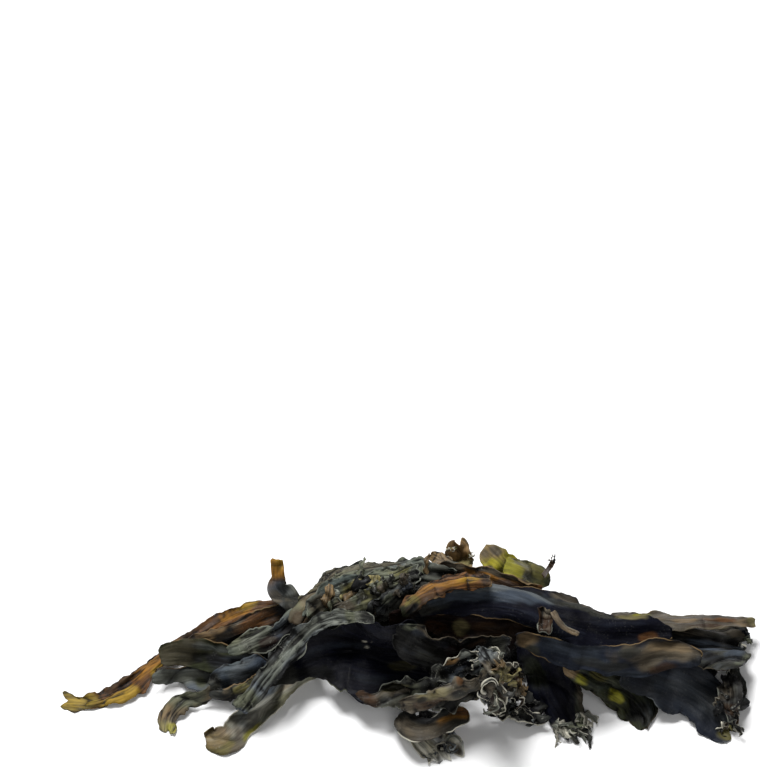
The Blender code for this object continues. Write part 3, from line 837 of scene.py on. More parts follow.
LEFT_FAN = (
    Blade("amber_strip", Slot.AMBER, THIN_TIP, RUST,
        ((-105, 19.5, 0, 6), (-95, 19.5, 0, 4), (-87, 22.5, 1, 7), (-77, 30.5, 2, 6), (-66, 38, 4, 4.5),
        (-57.5, 43.5, 6, 5.5), (-50, 46.5, 8, 4), (-37, 48.5, 9, 3.5)), arch=70, pleats=(1, 40), reach=4,
        rims=(0.1, 0.2), spots=((0.0, 0, 6, OLIVE, 0.9, 1.6), (0.04, 0.2, 3, STRAW, 0.5, 3),
        (0.22, -0.6, 2, STRAW, 0.8, 4), (0.25, 0.7, 2, UMBER, 1.0, 4), (0.38, 0.2, 2, AMBER, 0.8, 3),
        (0.40, -0.7, 1.6, STRAW, 0.7, 3), (0.5, 0, 4, TAUPE, 0.9), (0.58, 0.3, 4, UMBER),
        (0.78, 0.2, 2.4, AMBER, 0.9, 3), (0.84, 0.5, 1.6, STRAW, 0.7, 2), (0.97, 0, 5, UMBER)),
        tears=(Tear(False, 0.1, 0.7, 1.2),)),
    Blade("brown_lobe", Slot.AMBER, THIN_TIP, UMBER,
        ((-68, 35.5, 1, 3), (-63, 37, 2, 6), (-57, 38.5, 3, 8), (-50, 41, 5, 6.5), (-41, 45, 7, 5.5),
        (-34, 48, 9, 5.5)), arch=60, curl_high=50, pleats=(1, 30), reach=4, rims=(0.3, 0.9),
        spots=((0.2, 0.3, 3, TAN, 0.5, 2), (0.35, -0.2, 4, PITCH, 1.0, 1.5), (0.45, 0.4, 2.6, TAUPE),
        (0.62, 0.1, 2.6, RUST, 0.8, 2.5), (0.95, 0, 8, PITCH))),
    Blade("lower_lobe", Slot.GREY, SATIN_RIDGE, STEEL,
        ((-78, 26, 0, 2.5), (-75, 26.4, 0, 4.5), (-70, 27, 1, 7), (-64, 27.2, 2, 8.8), (-57, 26.8, 2, 9.8),
        (-50, 26, 3, 7)), arch=60, pleats=(1, 40), reach=4, rims=(0.6, 0.7), spots=((0.1, 0, 4, ASH, 0.5),
        (0.4, 0.5, 2.2, PITCH, 0.9, 1.5), (0.65, 0.5, 2.6, PITCH, 1.0, 2), (0.55, -0.6, 2, SAGE),
        (0.95, 0, 6, PITCH))),
    Blade("front_tip", Slot.OLIVE, THIN_TIP, TAUPE,
        ((-73, 10, 0, 4.5), (-72.5, 14, 0, 6.5), (-68.5, 18.5, 1, 5), (-62, 21.5, 1, 4.5), (-53, 25, 3, 5)),
        arch=60, pleats=(1, 20), reach=4, spots=((0.0, 0.2, 4, KHAKI), (0.05, -0.5, 2, LEAF, 0.7),
        (0.2, 0.7, 2.5, TAN), (0.5, 0, 5, SAGE, 0.9, 1.6), (0.88, 0, 6, DRAB)),
        tears=(Tear(False, -0.1, 0.5, 1.2),)),
    Blade("blunt_lobe", Slot.DARK, SATIN_RIDGE, MOSS,
        ((-75.5, 32.5, 1, 6), (-71, 33.5, 2, 9), (-64, 33, 3, 10), (-56, 32, 4, 9), (-48, 32.5, 5, 8),
        (-40, 35, 6, 7)), tilt=10, arch=60, curl_high=30, pleats=(1, 25), reach=4, rims=(0.3, 0.9),
        spots=((0.15, 0, 8, TAUPE, 0.5), (0.42, 0.6, 1.6, STEEL, 0.4, 4), (0.5, -0.2, 3.5, PITCH, 1.0, 3),
        (0.7, 0, 2, SLATE, 0.3, 4))),
    Blade("upright_sprig", Slot.AMBER, CLEAN_TIP, STEEL,
        ((-33, 46, 9, 5.5), (-37, 50, 13, 6), (-40, 53.5, 16, 7), (-40, 57, 20, 4.6), (-40, 62, 24, 4.6)),
        arch=50, pleats=(1, 15), reach=3, spots=((1.0, 0, 8, AMBER), (0.97, -0.3, 3, STRAW, 0.5, 1.5),
        (0.42, 0.6, 3, TAUPE, 0.8), (0.1, 0, 5, DRAB))),
    Blade("grey_upper_lobe", Slot.GREY, GREY_STRAP, SAGE,
        ((-55, 34.5, 2, 3), (-51, 35.5, 3, 5), (-46, 37.5, 5, 6.5), (-40, 40, 7, 7), (-34, 45, 9, 6)),
        arch=70, curl_low=40, pleats=(1, 30), reach=4, rims=(0.5, 0.8), spots=((0.4, 0, 8, DRAB, 0.6),
        (0.3, 0.2, 2.4, ASH, 0.5, 2.4), (0.55, -0.5, 2.6, MAROON, 1.0, 2), (0.8, 0, 5, SLATE, 0.8),
        (0.85, -0.6, 2.6, PITCH, 1.0, 2))),
    Blade("blue_lobe", Slot.DARK, DARK_BLADE, SLATE,
        ((-61, 24, 1, 4), (-57, 26, 2, 8), (-53, 27, 4, 10), (-48.5, 28, 5, 9), (-42, 31, 6, 7)), tilt=-10,
        arch=70, pleats=(1, 30), reach=4, rims=(0.4, 0.4), spots=((0.1, -0.4, 3.5, DRAB),
        (0.45, 0.1, 2.6, STEEL, 0.7, 1.6), (0.8, -0.4, 3.5, NAVY, 1.0, 1.5),
        (0.5, -0.9, 1.8, PITCH, 1.0, 3))),
    Blade("tan_lobe", Slot.OLIVE, THIN_TIP, DRAB,
        ((-60, 21.5, 0, 3), (-56, 21, 1, 4.5), (-51, 22.5, 3, 5.5), (-44, 27, 5, 6)), arch=90,
        pleats=(1, 20), reach=4, rims=(0.3, 0.6), spots=((0.65, 0.3, 2.2, OLIVE, 0.8, 2.4),
        (0.3, 0.4, 2.2, TAUPE, 0.8), (0.45, -0.6, 2.4, PITCH, 1.0, 2))),
    Blade("lower_left_strap", Slot.OLIVE, PALE_TIP, ASH,
        ((-61.5, 8.2, 0, 7), (-58.5, 7.8, 0, 10), (-55, 8.8, 0, 10.5), (-50, 13, 0, 8.5), (-43, 19, 1, 7.2),
        (-36, 24.5, 3, 5.5), (-27, 31, 5, 5.5)), tilt=-5, arch=60, curl_high=40, pleats=(1, 30), reach=4,
        rims=(0.3, 0.6), spots=((0.08, 0, 12, TAUPE, 0.9, 1.3), (0.04, -0.4, 6, OLIVE, 0.8),
        (0.12, 0.3, 5, TAN, 0.6, 1.5), (0.32, -0.8, 2.2, LEAF, 0.8, 1.8), (0.5, 0.1, 3.4, PALE, 0.5, 5),
        (0.62, 0.5, 1.4, STEEL, 0.5, 6), (0.75, 0.1, 1.2, TAN, 0.5, 6))),
)

TOP_LEAVES = (
    Blade("top_ragged_leaf", Slot.OLIVE, CLEAN_TIP, TAN,
        ((14.5, 58, 12, 10), (14.5, 62, 15, 10), (14.5, 65, 18, 8), (14, 68, 21, 4.5)), arch=50,
        pleats=(1.5, 35), reach=4, rims=(0.6, 0.6), spots=((0.75, 0.1, 2.5, TAUPE, 0.4),
        (0.5, -0.3, 6, KHAKI), (0.15, 0, 3, DRAB, 0.6), (0.6, 0.7, 1.2, UMBER), (0.8, 0.1, 5, AMBER, 0.3)),
        tears=(Tear(True, -0.2, 0.6, 2.0),), holes=((0.45, 0.3, 0.8),)),
    Blade("top_left_point", Slot.GREY, GREY_STRAP, TAN,
        ((6, 63, 18, 2.5), (9, 61.5, 16, 4), (14, 59, 13, 5)), arch=60, pleats=(1, 10), reach=3,
        spots=((0.9, 0, 3, DRAB),)),
    Blade("yellow_leaf", Slot.OLIVE, CLEAN_TIP, LEAF,
        ((22, 65, 18, 4), (24.5, 62.5, 17, 7), (27, 60, 15, 8.5), (30, 58, 13, 8), (33.5, 56.5, 12, 5)),
        tilt=-10, arch=50, pleats=(1, 25), reach=3, rims=(0.1, 0.1), spots=((0.0, 0, 6.5, TAN, 0.9),
        (0.2, 0.5, 2.4, TAUPE, 0.9), (0.1, -0.4, 2, TAUPE, 0.6), (0.4, -0.9, 1.4, DRAB))),
    Blade("olive_leaf", Slot.OLIVE, CLEAN_TIP, OLIVE,
        ((28.5, 60, 15, 4), (32.5, 58.5, 14, 7), (36.5, 57, 13, 7), (40, 55.5, 12, 5.5), (42, 54.5, 11, 3)),
        arch=80, pleats=(1, 15), reach=3, rims=(0.0, 0.0), spots=((0.6, 0.9, 1.4, MOSS, 0.9, 6),
        (0.6, 0, 9, MOSS, 0.35, 1.5), (0.6, -0.3, 2, SAGE, 0.5, 3), (0.02, -0.1, 5.5, LEAF, 0.95),
        (0.95, 0, 2, MOSS, 0.8))),
    Blade("twig", Slot.AMBER, THIN_TIP, UMBER,
        ((40, 56.5, 13, 1.8), (42, 59, 14, 1.6), (43.5, 61.5, 15, 1.6)), arch=60, pleats=(1, 0), ruffle=0,
        reach=3),
    Blade("top_brown_sheet", Slot.AMBER, THIN_TIP, RUST,
        ((9, 59.3, 10, 4), (15, 58.8, 12, 5), (21, 57.5, 12, 5), (28, 55.5, 11, 4.5), (35, 53.8, 10, 4.2),
        (39.5, 52.2, 10, 3.5)), tilt=15, arch=30, curl_high=60, pleats=(1, 30), reach=4, rims=(0.2, 1.0),
        spots=((0.5, 0, 2.4, AMBER, 0.6, 5), (0.4, 0.95, 1.6, TAUPE, 1.0, 10), (0.12, 0, 4, TAUPE),
        (0.7, -0.6, 1.6, UMBER, 1.0, 4))),
)

ARCH_FOLDS = (
    Blade("arch_blade", Slot.GREY, GREY_STRAP, SAGE,
        ((-34, 42, 5, 6), (-30.5, 47, 8, 9), (-24.5, 52, 9, 11), (-17, 55.5, 10, 11), (-8, 57.5, 10, 9),
        (4, 58, 9, 8), (13, 57, 8, 7)), tilt=-8, arch=60, pleats=(1.5, 30), rims=(0.5, 0.5),
        spots=((0.0, 0, 6, UMBER, 0.9), (0.13, 0.4, 2.6, TAN, 0.5, 1.5), (0.25, 0.8, 2.4, TAUPE, 0.8, 4),
        (0.5, 0.7, 2.4, TAUPE, 0.7, 4), (0.45, -0.2, 1.8, DRAB, 0.9, 6), (0.65, 0.3, 1.5, STEEL, 0.6, 6),
        (0.8, -0.3, 2, PITCH, 0.9, 4), (0.92, 0.1, 4, DRAB))),
    Blade("arch_fold", Slot.GREY, GREY_STRAP, SAGE,
        ((-31.5, 44, 6, 6), (-26.5, 48.5, 8, 9), (-20, 51.5, 10, 9.5), (-12, 54, 10, 9.5),
        (-5, 56.5, 10, 8), (2, 58.5, 10, 6)), tilt=-8, arch=60, curl_high=30, pleats=(1.5, 30), ruffle=1.0,
        reach=3, rims=(0.6, 0.7), spots=((0.12, 0, 5, TAUPE, 0.8), (0.4, 0.3, 2.6, OLIVE, 0.8, 1.4),
        (0.3, -0.5, 1.5, PITCH, 1.0, 6), (0.47, 0.5, 1.5, KHAKI, 0.7, 1.5), (0.55, -0.1, 1.8, DRAB, 0.9, 4),
        (0.65, -0.6, 2.4, PITCH, 1.0, 2.5), (0.82, 0.5, 2.4, OLIVE, 0.7, 2), (0.95, -0.3, 4, PITCH))),
    Blade("crumple_left", Slot.GREY, CRISP_FRILL, SAGE,
        ((-25, 46, 7, 5), (-19, 48, 9, 7), (-12, 50.5, 10, 8), (-3, 54, 10, 6)), arch=50, curl_low=40,
        pleats=(1.5, 35), ruffle=1.0, reach=3, rims=(0.4, 0.4), spots=((0.2, 0, 4, TAUPE),
        (0.5, 0.3, 3, OLIVE, 0.5), (0.7, -0.4, 3, PITCH), (0.85, 0.2, 2.5, ASH, 0.8))),
    Blade("crumple_right", Slot.GREY, CRISP_FRILL, DRAB,
        ((-13, 43, 8, 5), (-9, 46.5, 10, 7.5), (-4.5, 51, 11, 8), (0, 55.5, 11, 5)), arch=50, curl_high=40,
        pleats=(1.5, 35), ruffle=1.0, reach=3, rims=(0.4, 0.4), spots=((0.35, 0, 3, STEEL, 0.8),
        (0.6, 0.4, 3, SAGE, 0.8), (0.8, -0.3, 3, PITCH))),
    Blade("shadow_sheet", Slot.AMBER, WET_SHEET, MAROON,
        ((-7, 45, 6, 5), (6, 44, 6, 10), (19, 42.5, 6, 13), (30, 41.5, 6, 13), (42, 40, 6, 9)), tilt=15,
        arch=-30, pleats=(1.5, 30), rims=(0.2, 0.2), spots=((0.5, -0.15, 2.4, KHAKI, 0.6, 1.2),
        (0.66, -0.2, 3, UMBER, 0.9, 2.4), (0.8, 0.2, 4, UMBER, 0.7), (0.2, 0, 4, INK),
        (0.34, -0.4, 3, RUST, 0.4, 2))),
)

RIGHT_FALL = (
    Blade("hanging_sheet", Slot.DARK, WET_SHEET, INK,
        ((35, 39, 10, 9), (38.5, 34, 9, 14), (41, 28, 7, 16), (44, 22, 4, 15), (47, 15.5, 1, 12.5),
        (50.5, 8, 0, 8)), arch=50, curl_high=40, rims=(0.1, 0.4), spots=((0.97, -0.2, 4, STEEL, 0.8),
        (1.0, 0.4, 4, ASH, 0.9), (0.85, 0.7, 2.4, SAGE, 0.9, 2.5), (0.7, 0.9, 1.6, TAUPE, 0.8, 4),
        (0.35, -0.5, 4, MOSS, 0.7, 2), (0.88, -0.9, 2, PALE, 0.6, 2)), tears=(Tear(True, -0.55, 0.3, 4.0),
        Tear(True, 0.05, 0.25, 3.0), Tear(True, 0.6, 0.25, 3.5))),
    Blade("lower_right_lobe", Slot.DARK, DARK_BLADE, MOSS,
        ((47, 31, 6, 5), (52.5, 27.5, 5, 7.5), (59, 23.5, 3, 10), (65, 20, 1, 12.5), (68.8, 15.8, 0, 10),
        (70.3, 11, 0, 3)), arch=50, pleats=(1.5, 30), rims=(0.4, 0.3), spots=((0.06, -0.3, 3, TAN, 0.8),
        (0.2, -0.5, 2.2, LEAF, 0.8, 1.4), (0.57, -0.2, 1.7, LEAF, 0.9, 1.7),
        (0.45, 0.6, 2.4, SAGE, 0.7, 2.5), (0.3, 0.4, 2, OLIVE, 0.6, 2), (0.85, 0, 6, PITCH, 0.8))),
    Blade("corner_sheet", Slot.DARK, SMOOTH_SHEET, NAVY,
        ((64, 29, 6, 8), (75, 25, 4, 14), (84, 21.5, 2, 17), (90, 17, 1, 17), (96, 9.5, 0, 7)), arch=50,
        curl_high=30, pleats=(1.5, 20), ruffle=0.4, rims=(0.3, 0.1), spots=((0.5, 0.2, 9, SLATE, 0.2),
        (0.92, 0.4, 3.5, STEEL, 0.7), (1.0, -0.2, 3, OLIVE, 0.9), (0.95, 0.9, 2.5, RUST, 0.8)),
        tears=(Tear(True, 0.2, 0.4, 2.5),)),
    Blade("right_fringe_grey", Slot.GREY, CRISP_FRILL, DRAB,
        ((97, 29, 3, 3.5), (98.5, 24.5, 2, 4.5), (99, 21, 1, 4.5), (98, 17.5, 0, 3)), arch=60,
        pleats=(1, 30), ruffle=0.6, reach=3, rims=(0.4, 0.4), spots=((0.7, 0, 4, STEEL, 0.5),)),
    Blade("right_fringe_brown", Slot.AMBER, CRISP_FRILL, PITCH,
        ((94.5, 28, 4, 5), (95.5, 22.5, 3, 5), (95.5, 18, 1, 5), (97, 13.5, 0, 3.5)), arch=60,
        pleats=(1, 30), ruffle=0.6, reach=3, rims=(0.4, 0.4), spots=((0.8, 0, 3, UMBER),
        (0.4, -0.5, 3, TAUPE, 0.6))),
)

RIGHT_TOP = (
    Blade("right_upper_sheet", Slot.DARK, DARK_BLADE, DRAB,
        ((72, 40, 6, 6), (80, 38.5, 6, 10), (88, 37, 5, 15), (95, 36, 4, 17), (101, 35.5, 3, 13)), tilt=-5,
        pleats=(2, 30), rims=(0.3, 0.6), spots=((0.3, 0, 9, PITCH, 0.8, 1.5),
        (0.62, 0.4, 2.4, TAUPE, 0.6, 5), (0.72, -0.1, 2.4, SLATE, 0.9, 4), (0.6, -0.5, 2, PITCH, 0.9, 6),
        (0.9, -0.3, 2.4, SLATE, 0.8, 2), (0.85, 0.1, 1.6, PITCH, 0.9, 4), (0.95, -0.7, 2.4, SAGE, 0.8),
        (0.92, 0.5, 3, TAUPE, 0.7, 1.5))),
    Blade("right_rim", Slot.GREY, CLEAN_TIP, TAUPE,
        ((60, 43.5, 9, 4.5), (68, 43.5, 10, 6), (79, 43, 9, 6), (91, 43, 8, 4), (104, 42.5, 6, 3)), arch=80,
        curl_low=40, pleats=(1, 30), reach=4, rims=(0.5, 0.5), spots=((0.22, 0.6, 2, LEAF, 0.8),
        (0.3, -0.7, 1.6, PITCH, 1.0, 3), (0.45, 0.3, 2, TAN, 0.6, 3), (0.6, -0.5, 1.4, UMBER, 0.9, 5),
        (0.72, 0.4, 1.6, RUST, 0.8, 4), (0.87, 0, 3, TAN, 0.6, 1.5), (1.0, 0, 3, KHAKI, 0.6))),
    # Its slate and steel spots on the upper half are a painted sheen on its upper ridge, and its large ink
    # spots on the lower half are painted shade on its front face.
    Blade("upper_right_blade", Slot.DARK, SATIN_RIDGE, INK,
        ((2, 47, 10, 4), (9, 49, 12, 8), (20, 50, 14, 11), (32, 48.5, 14, 13), (42, 44.5, 13, 16),
        (54, 41, 11, 15.5), (66, 40.5, 9, 12), (78, 40, 8, 6)), arch=90, curl_low=30, ruffle=0.4,
        rims=(0.9, 0.2), spots=((0.08, 0.3, 4, DRAB, 0.9, 2), (0.22, 0.4, 3, SLATE, 1.0, 6),
        (0.35, 0.5, 3.4, SLATE, 1.0, 5), (0.28, 0.7, 1.8, STEEL, 1.0, 7), (0.44, 0.6, 1.6, STEEL, 0.8, 5),
        (0.24, 0.98, 2.5, TAN, 0.8, 1.5), (0.64, 0.75, 2.2, DRAB, 1.0, 6), (0.62, 0.9, 1.4, TAUPE, 1.0, 8),
        (0.86, 0.9, 1.6, KHAKI, 0.6, 3), (0.87, 0.95, 1.2, LEAF, 0.7, 1.6), (0.62, -0.3, 5.4, INK, 1.0, 5),
        (0.25, -0.5, 3, INK, 0.9, 6), (0.915, -0.3, 1.6, RUST, 0.7, 1.7))),
    Blade("amber_roll", Slot.AMBER, THIN_TIP, RUST,
        ((-2.5, 46.5, 12, 3.5), (2, 50.5, 14, 5.5), (8, 53.5, 15, 6), (15, 55, 15, 5), (24, 55.5, 15, 3.5)),
        arch=130, pleats=(1, 15), reach=3, rims=(0.3, 0.5), spots=((0.35, 0.4, 1.4, AMBER, 0.7, 4),
        (0.6, 0.2, 1.4, AMBER, 0.7, 4), (0.4, -0.6, 1.4, UMBER, 0.9, 6), (0.5, 0.6, 1.2, UMBER, 0.7, 2),
        (0.03, 0, 4, MOSS), (0.16, 0.2, 2.5, OLIVE, 0.8), (0.12, -0.5, 2.5, PITCH),
        (0.8, 0.3, 1.4, STRAW, 0.4, 3), (1.0, 0, 4, UMBER))),
    Blade("mid_right_blade", Slot.DARK, SATIN_RIDGE, NAVY,
        ((31, 38, 11, 6), (38, 36.5, 11, 8), (46, 34, 11, 7), (56, 32, 10, 8), (66, 32, 9, 10),
        (74, 33, 9, 12), (81, 33.5, 9, 9), (87, 33, 7, 5)), tilt=-5, arch=60, curl_high=40, pleats=(1, 35),
        ruffle=1.2, rims=(0.3, 1.0), spots=((0.05, 0.3, 3, TAN, 0.8), (0.1, -0.5, 3, DRAB),
        (0.3, 0.2, 2.2, SLATE, 0.5, 6), (0.45, -0.3, 2, DRAB, 0.6, 6), (0.76, 0.35, 5.2, TAUPE, 0.95, 2.6),
        (0.86, 0.2, 3, TAUPE, 1.0, 2), (0.8, 0.5, 1.6, TAN, 0.4, 5), (0.78, -0.7, 2, UMBER, 0.8, 2.5),
        (0.6, -0.9, 1.2, SLATE, 0.6, 8), (0.62, 0.5, 1.4, DRAB, 0.8, 4))),
)

CENTRE = (
    # Its three small pale spots are painted glints.
    Blade("centre_dark_sheet", Slot.DARK, WET_SHEET, INK,
        ((-42, 25.5, 5, 4), (-35, 30, 6, 9), (-27, 33, 6, 16), (-20, 33, 7, 23), (-12, 32, 7, 25),
        (-4, 32, 6, 23), (6, 31, 6, 17)), arch=20, pleats=(2, 15), ruffle=0.3, rims=(0.2, 0.2),
        spots=((0.05, 0, 8, DRAB, 0.8), (0.35, -0.8, 4, PITCH, 1.0, 2.5), (0.7, -0.5, 3, NAVY, 0.8, 2.5),
        (0.85, -0.2, 3, OLIVE, 0.3, 1.5), (0.83, -0.8, 3, SAGE, 0.6, 1.2), (0.45, 0.3, 1.4, SLATE, 0.25, 8),
        (0.62, 0.42, 0.6, PALE, 1.0, 1.6), (0.665, 0.46, 0.5, PALE, 1.0, 1.4),
        (0.64, 0.28, 0.45, PALE, 0.9, 1.8))),
    Blade("scallop_sheet", Slot.DARK, DARK_BLADE, PITCH,
        ((-5.5, 41, 11, 7), (1, 37, 11, 13), (8, 34, 10, 13), (15, 33, 10, 11), (22, 35.5, 10, 8),
        (29, 38, 9, 6)), arch=20, curl_high=70, pleats=(1.5, 30), ruffle=1.2, rims=(0.0, 1.0),
        spots=((0.05, 0.9, 2.4, SAGE), (0.2, 0.9, 1.4, TAUPE, 0.9, 5), (0.5, 0.4, 3.5, MAROON, 1.0, 2),
        (0.3, -0.4, 3.5, DRAB, 0.6, 1.6), (0.62, -0.2, 2.5, RUST, 0.6), (0.9, 0, 4, DRAB),
        (0.7, 0.6, 2.4, UMBER, 0.8, 2.4), (0.42, -0.5, 2.0, TAUPE, 0.8, 1.4))),
    Blade("long_grey_strap", Slot.GREY, GREY_STRAP, STEEL,
        ((-52, 17.5, 3, 5.5), (-47.5, 22, 4, 6.5), (-41.5, 29, 6, 7), (-36, 35.5, 8, 6.5),
        (-30.5, 41, 10, 5.8), (-24, 44.3, 11, 4.5), (-17, 45, 11, 3.8), (-11, 44.5, 10, 3.2)), arch=90,
        curl_high=50, pleats=(1, 30), reach=4, rims=(0.5, 0.3), spots=((0.08, 0.3, 5, SAGE),
        (0.35, 0, 2.4, SAGE, 0.5, 6), (0.6, -0.1, 2.4, ASH, 0.4, 4), (0.25, -0.85, 1.2, PITCH, 0.9, 12),
        (0.3, 0.85, 1.1, DRAB, 0.8, 12), (0.45, 0.3, 0.8, DRAB, 0.8, 10), (0.82, 0, 4, SAGE),
        (1.0, 0, 8, PITCH, 0.85))),
)

FRONT_FRILLS = (
    # Its pitch spot at the root is painted shade under the upper cup, and its two small pitch spots are painted
    # shade inside holes.
    Blade("front_cup_lower", Slot.GREY, PALE_LEAF, PALE,
        ((2, 16, 1, 8), (4.5, 11, 0, 13), (9, 7, 0, 14), (13, 2, 0, 8)), arch=-40, curl_high=40,
        pleats=(1.5, 30), ruffle=1.2, reach=4, spots=((0.05, 0, 5, PITCH), (0.4, 0.7, 3, DRAB, 0.9),
        (0.6, 0.2, 1.3, PITCH, 1.0, 1.8), (0.75, -0.1, 1.2, PITCH, 1.0, 2), (0.95, 0.5, 3.2, TAUPE, 0.9)),
        tears=(Tear(True, 0.3, 0.5, 2.5),), holes=((1.02, -0.9, 3.2),)),
    # Its pitch spot on the high edge at the middle is painted shade in the cup's opening.
    Blade("front_cup_upper", Slot.AMBER, PALE_TIP, DRAB,
        ((-3.5, 15.5, 4, 6), (0.3, 12.5, 4, 8), (4.5, 12, 5, 7.5), (9, 13.5, 6, 7), (13.5, 15, 6, 7),
        (17.5, 15.5, 5, 5)), tilt=-15, arch=80, curl_low=30, pleats=(1, 20), reach=4, rims=(0.9, 0.5),
        spots=((0.1, 0.2, 4, PITCH, 0.8), (0.35, -0.3, 3.4, TAUPE, 0.9, 3), (0.6, -0.2, 2, TAUPE, 0.9, 3),
        (0.4, 0.7, 2, PITCH, 0.9, 3), (0.8, 0.2, 3, AMBER, 0.8, 2), (0.92, 0.5, 2.4, RUST, 0.9, 1.6))),
    Blade("centre_lower_edge", Slot.OLIVE, CRISP_FRILL, DRAB,
        ((-16, 21, 4, 3), (-12.5, 20.5, 4, 4.5), (-7, 21.5, 5, 6), (1, 22.5, 5, 8.5), (9, 25, 5, 8)),
        arch=70, pleats=(1, 30), reach=4, rims=(0.6, 0.7), spots=((0.08, 0, 3, UMBER),
        (0.4, 0, 2.4, TAUPE, 0.8, 2.5), (0.45, 0.6, 2, OLIVE, 0.6, 2), (0.7, 0.3, 3, SAGE, 0.9, 1.5),
        (0.9, 0, 5, PITCH))),
    Blade("grey_frilled_leaf", Slot.GREY, PALE_FRILL, STEEL,
        ((5.5, 28, 9, 4), (10, 29, 10, 7.5), (16, 30.5, 12, 9), (21.5, 32.5, 13, 8), (25, 35, 14, 5.5)),
        arch=50, curl_low=50, pleats=(1.5, 45), ruffle=1.2, reach=3, rims=(0.8, 0.8),
        spots=((0.25, 0.7, 2.2, AMBER, 0.7, 2), (0.12, 0, 4, DRAB), (0.75, 0.2, 6, ASH),
        (0.5, -0.4, 2.2, PITCH), (0.9, -0.3, 3, ASH)), tears=(Tear(True, 0.2, 0.5, 2.0),)),
    Blade("lower_band", Slot.OLIVE, CRISP_FRILL, TAUPE,
        ((-4, 18.5, 6, 4.5), (2, 19.5, 6, 7.5), (9, 21, 7, 9.5), (15, 22.5, 8, 10), (21, 25, 9, 8.5),
        (25, 28.5, 9, 6)), arch=110, pleats=(1, 20), reach=4, rims=(0.4, 0.9),
        spots=((0.3, 0.5, 1.4, KHAKI, 0.5, 4), (0.55, 0.8, 2, RUST, 0.9), (0.45, -0.6, 2.6, DRAB, 1.0, 4),
        (0.3, -0.2, 1.6, UMBER, 0.8, 4), (0.5, 0.2, 1.2, PITCH, 0.9, 2), (0.64, 0.1, 1.6, PITCH, 0.9, 2.5),
        (0.2, 0.3, 1.2, PITCH, 0.8, 2), (0.75, -0.3, 2.6, MOSS, 0.9, 2.5), (0.92, 0, 4, PITCH, 0.9))),
    Blade("black_frill", Slot.DARK, PALE_FRILL, PITCH,
        ((21.5, 19, 5, 5), (26.5, 18.5, 4, 9), (32, 17.5, 3, 10), (37, 16, 2, 7), (41.5, 16, 1, 4)),
        curl_low=30, curl_high=30, pleats=(1.5, 40), ruffle=1.2, reach=3, rims=(0.6, 0.6),
        spots=((0.3, 0.5, 3, MAROON),), tears=(Tear(True, 0, 0.6, 2.0),), holes=((0.4, -0.3, 1.1),
        (0.65, 0.3, 1.0))),
    Blade("tan_frill", Slot.OLIVE, PALE_FRILL, TAUPE,
        ((21.5, 36, 9, 5), (25, 31.5, 8, 8), (28.5, 26.5, 7, 9), (30.5, 20.5, 6, 7)), arch=60, curl_high=50,
        pleats=(1.5, 40), ruffle=1.2, reach=3, rims=(0.6, 0.6), spots=((0.45, 0.2, 3, KHAKI, 0.8),
        (0.7, -0.3, 2.5, TAN, 0.8), (0.8, 0.3, 3, PITCH), (0.1, 0, 4, STEEL)),
        tears=(Tear(True, 0.1, 0.5, 2.0),), holes=((0.62, -0.3, 1.2),)),
    Blade("curl_ring", Slot.GREY, PALE_FRILL, TAUPE,
        ((21, 24.5, 8, 4), (24.5, 23.5, 8, 5.5), (26, 20.5, 7, 5.5), (24, 17, 6, 4)), arch=110,
        pleats=(1, 20), reach=3, rims=(1.0, 1.0), spots=((0.5, -0.5, 3, MAROON), (0.7, 0.4, 2, PITCH))),
    Blade("stub", Slot.OLIVE, GREY_STRAP, UMBER,
        ((40.5, 47.5, 14, 4.5), (40, 44, 13, 4), (39.5, 40.5, 12, 3.5)), arch=80, pleats=(1, 15), reach=3,
        rims=(0.6, 0.9), spots=((0.1, 0, 2, TAUPE),)),
    Blade("stalk", Slot.GREY, GREY_STRAP, TAN,
        ((42, 47, 15, 1.8), (45, 42.5, 14, 1.8), (49.5, 40, 12, 1.8)), arch=60, pleats=(1, 0), ruffle=0,
        reach=3),
)

BLADES = UNDERLAYERS + LEFT_FAN + TOP_LEAVES + ARCH_FOLDS + RIGHT_FALL + RIGHT_TOP + CENTRE + FRONT_FRILLS


@dataclass(frozen=True)
class Swell:
    """One size of bump that tells crests from valleys.

    Cells is how far round a point to look, axes is in which directions, height is the bump's usual height in
    millimetres, and share is how much it counts.
    """

    cells: int
    height: float
    share: float
    axes: tuple[int, ...] = (0, 1)


SWELLS = (Swell(2, 0.12, 0.45), Swell(6, 0.4, 0.7, (1,)))


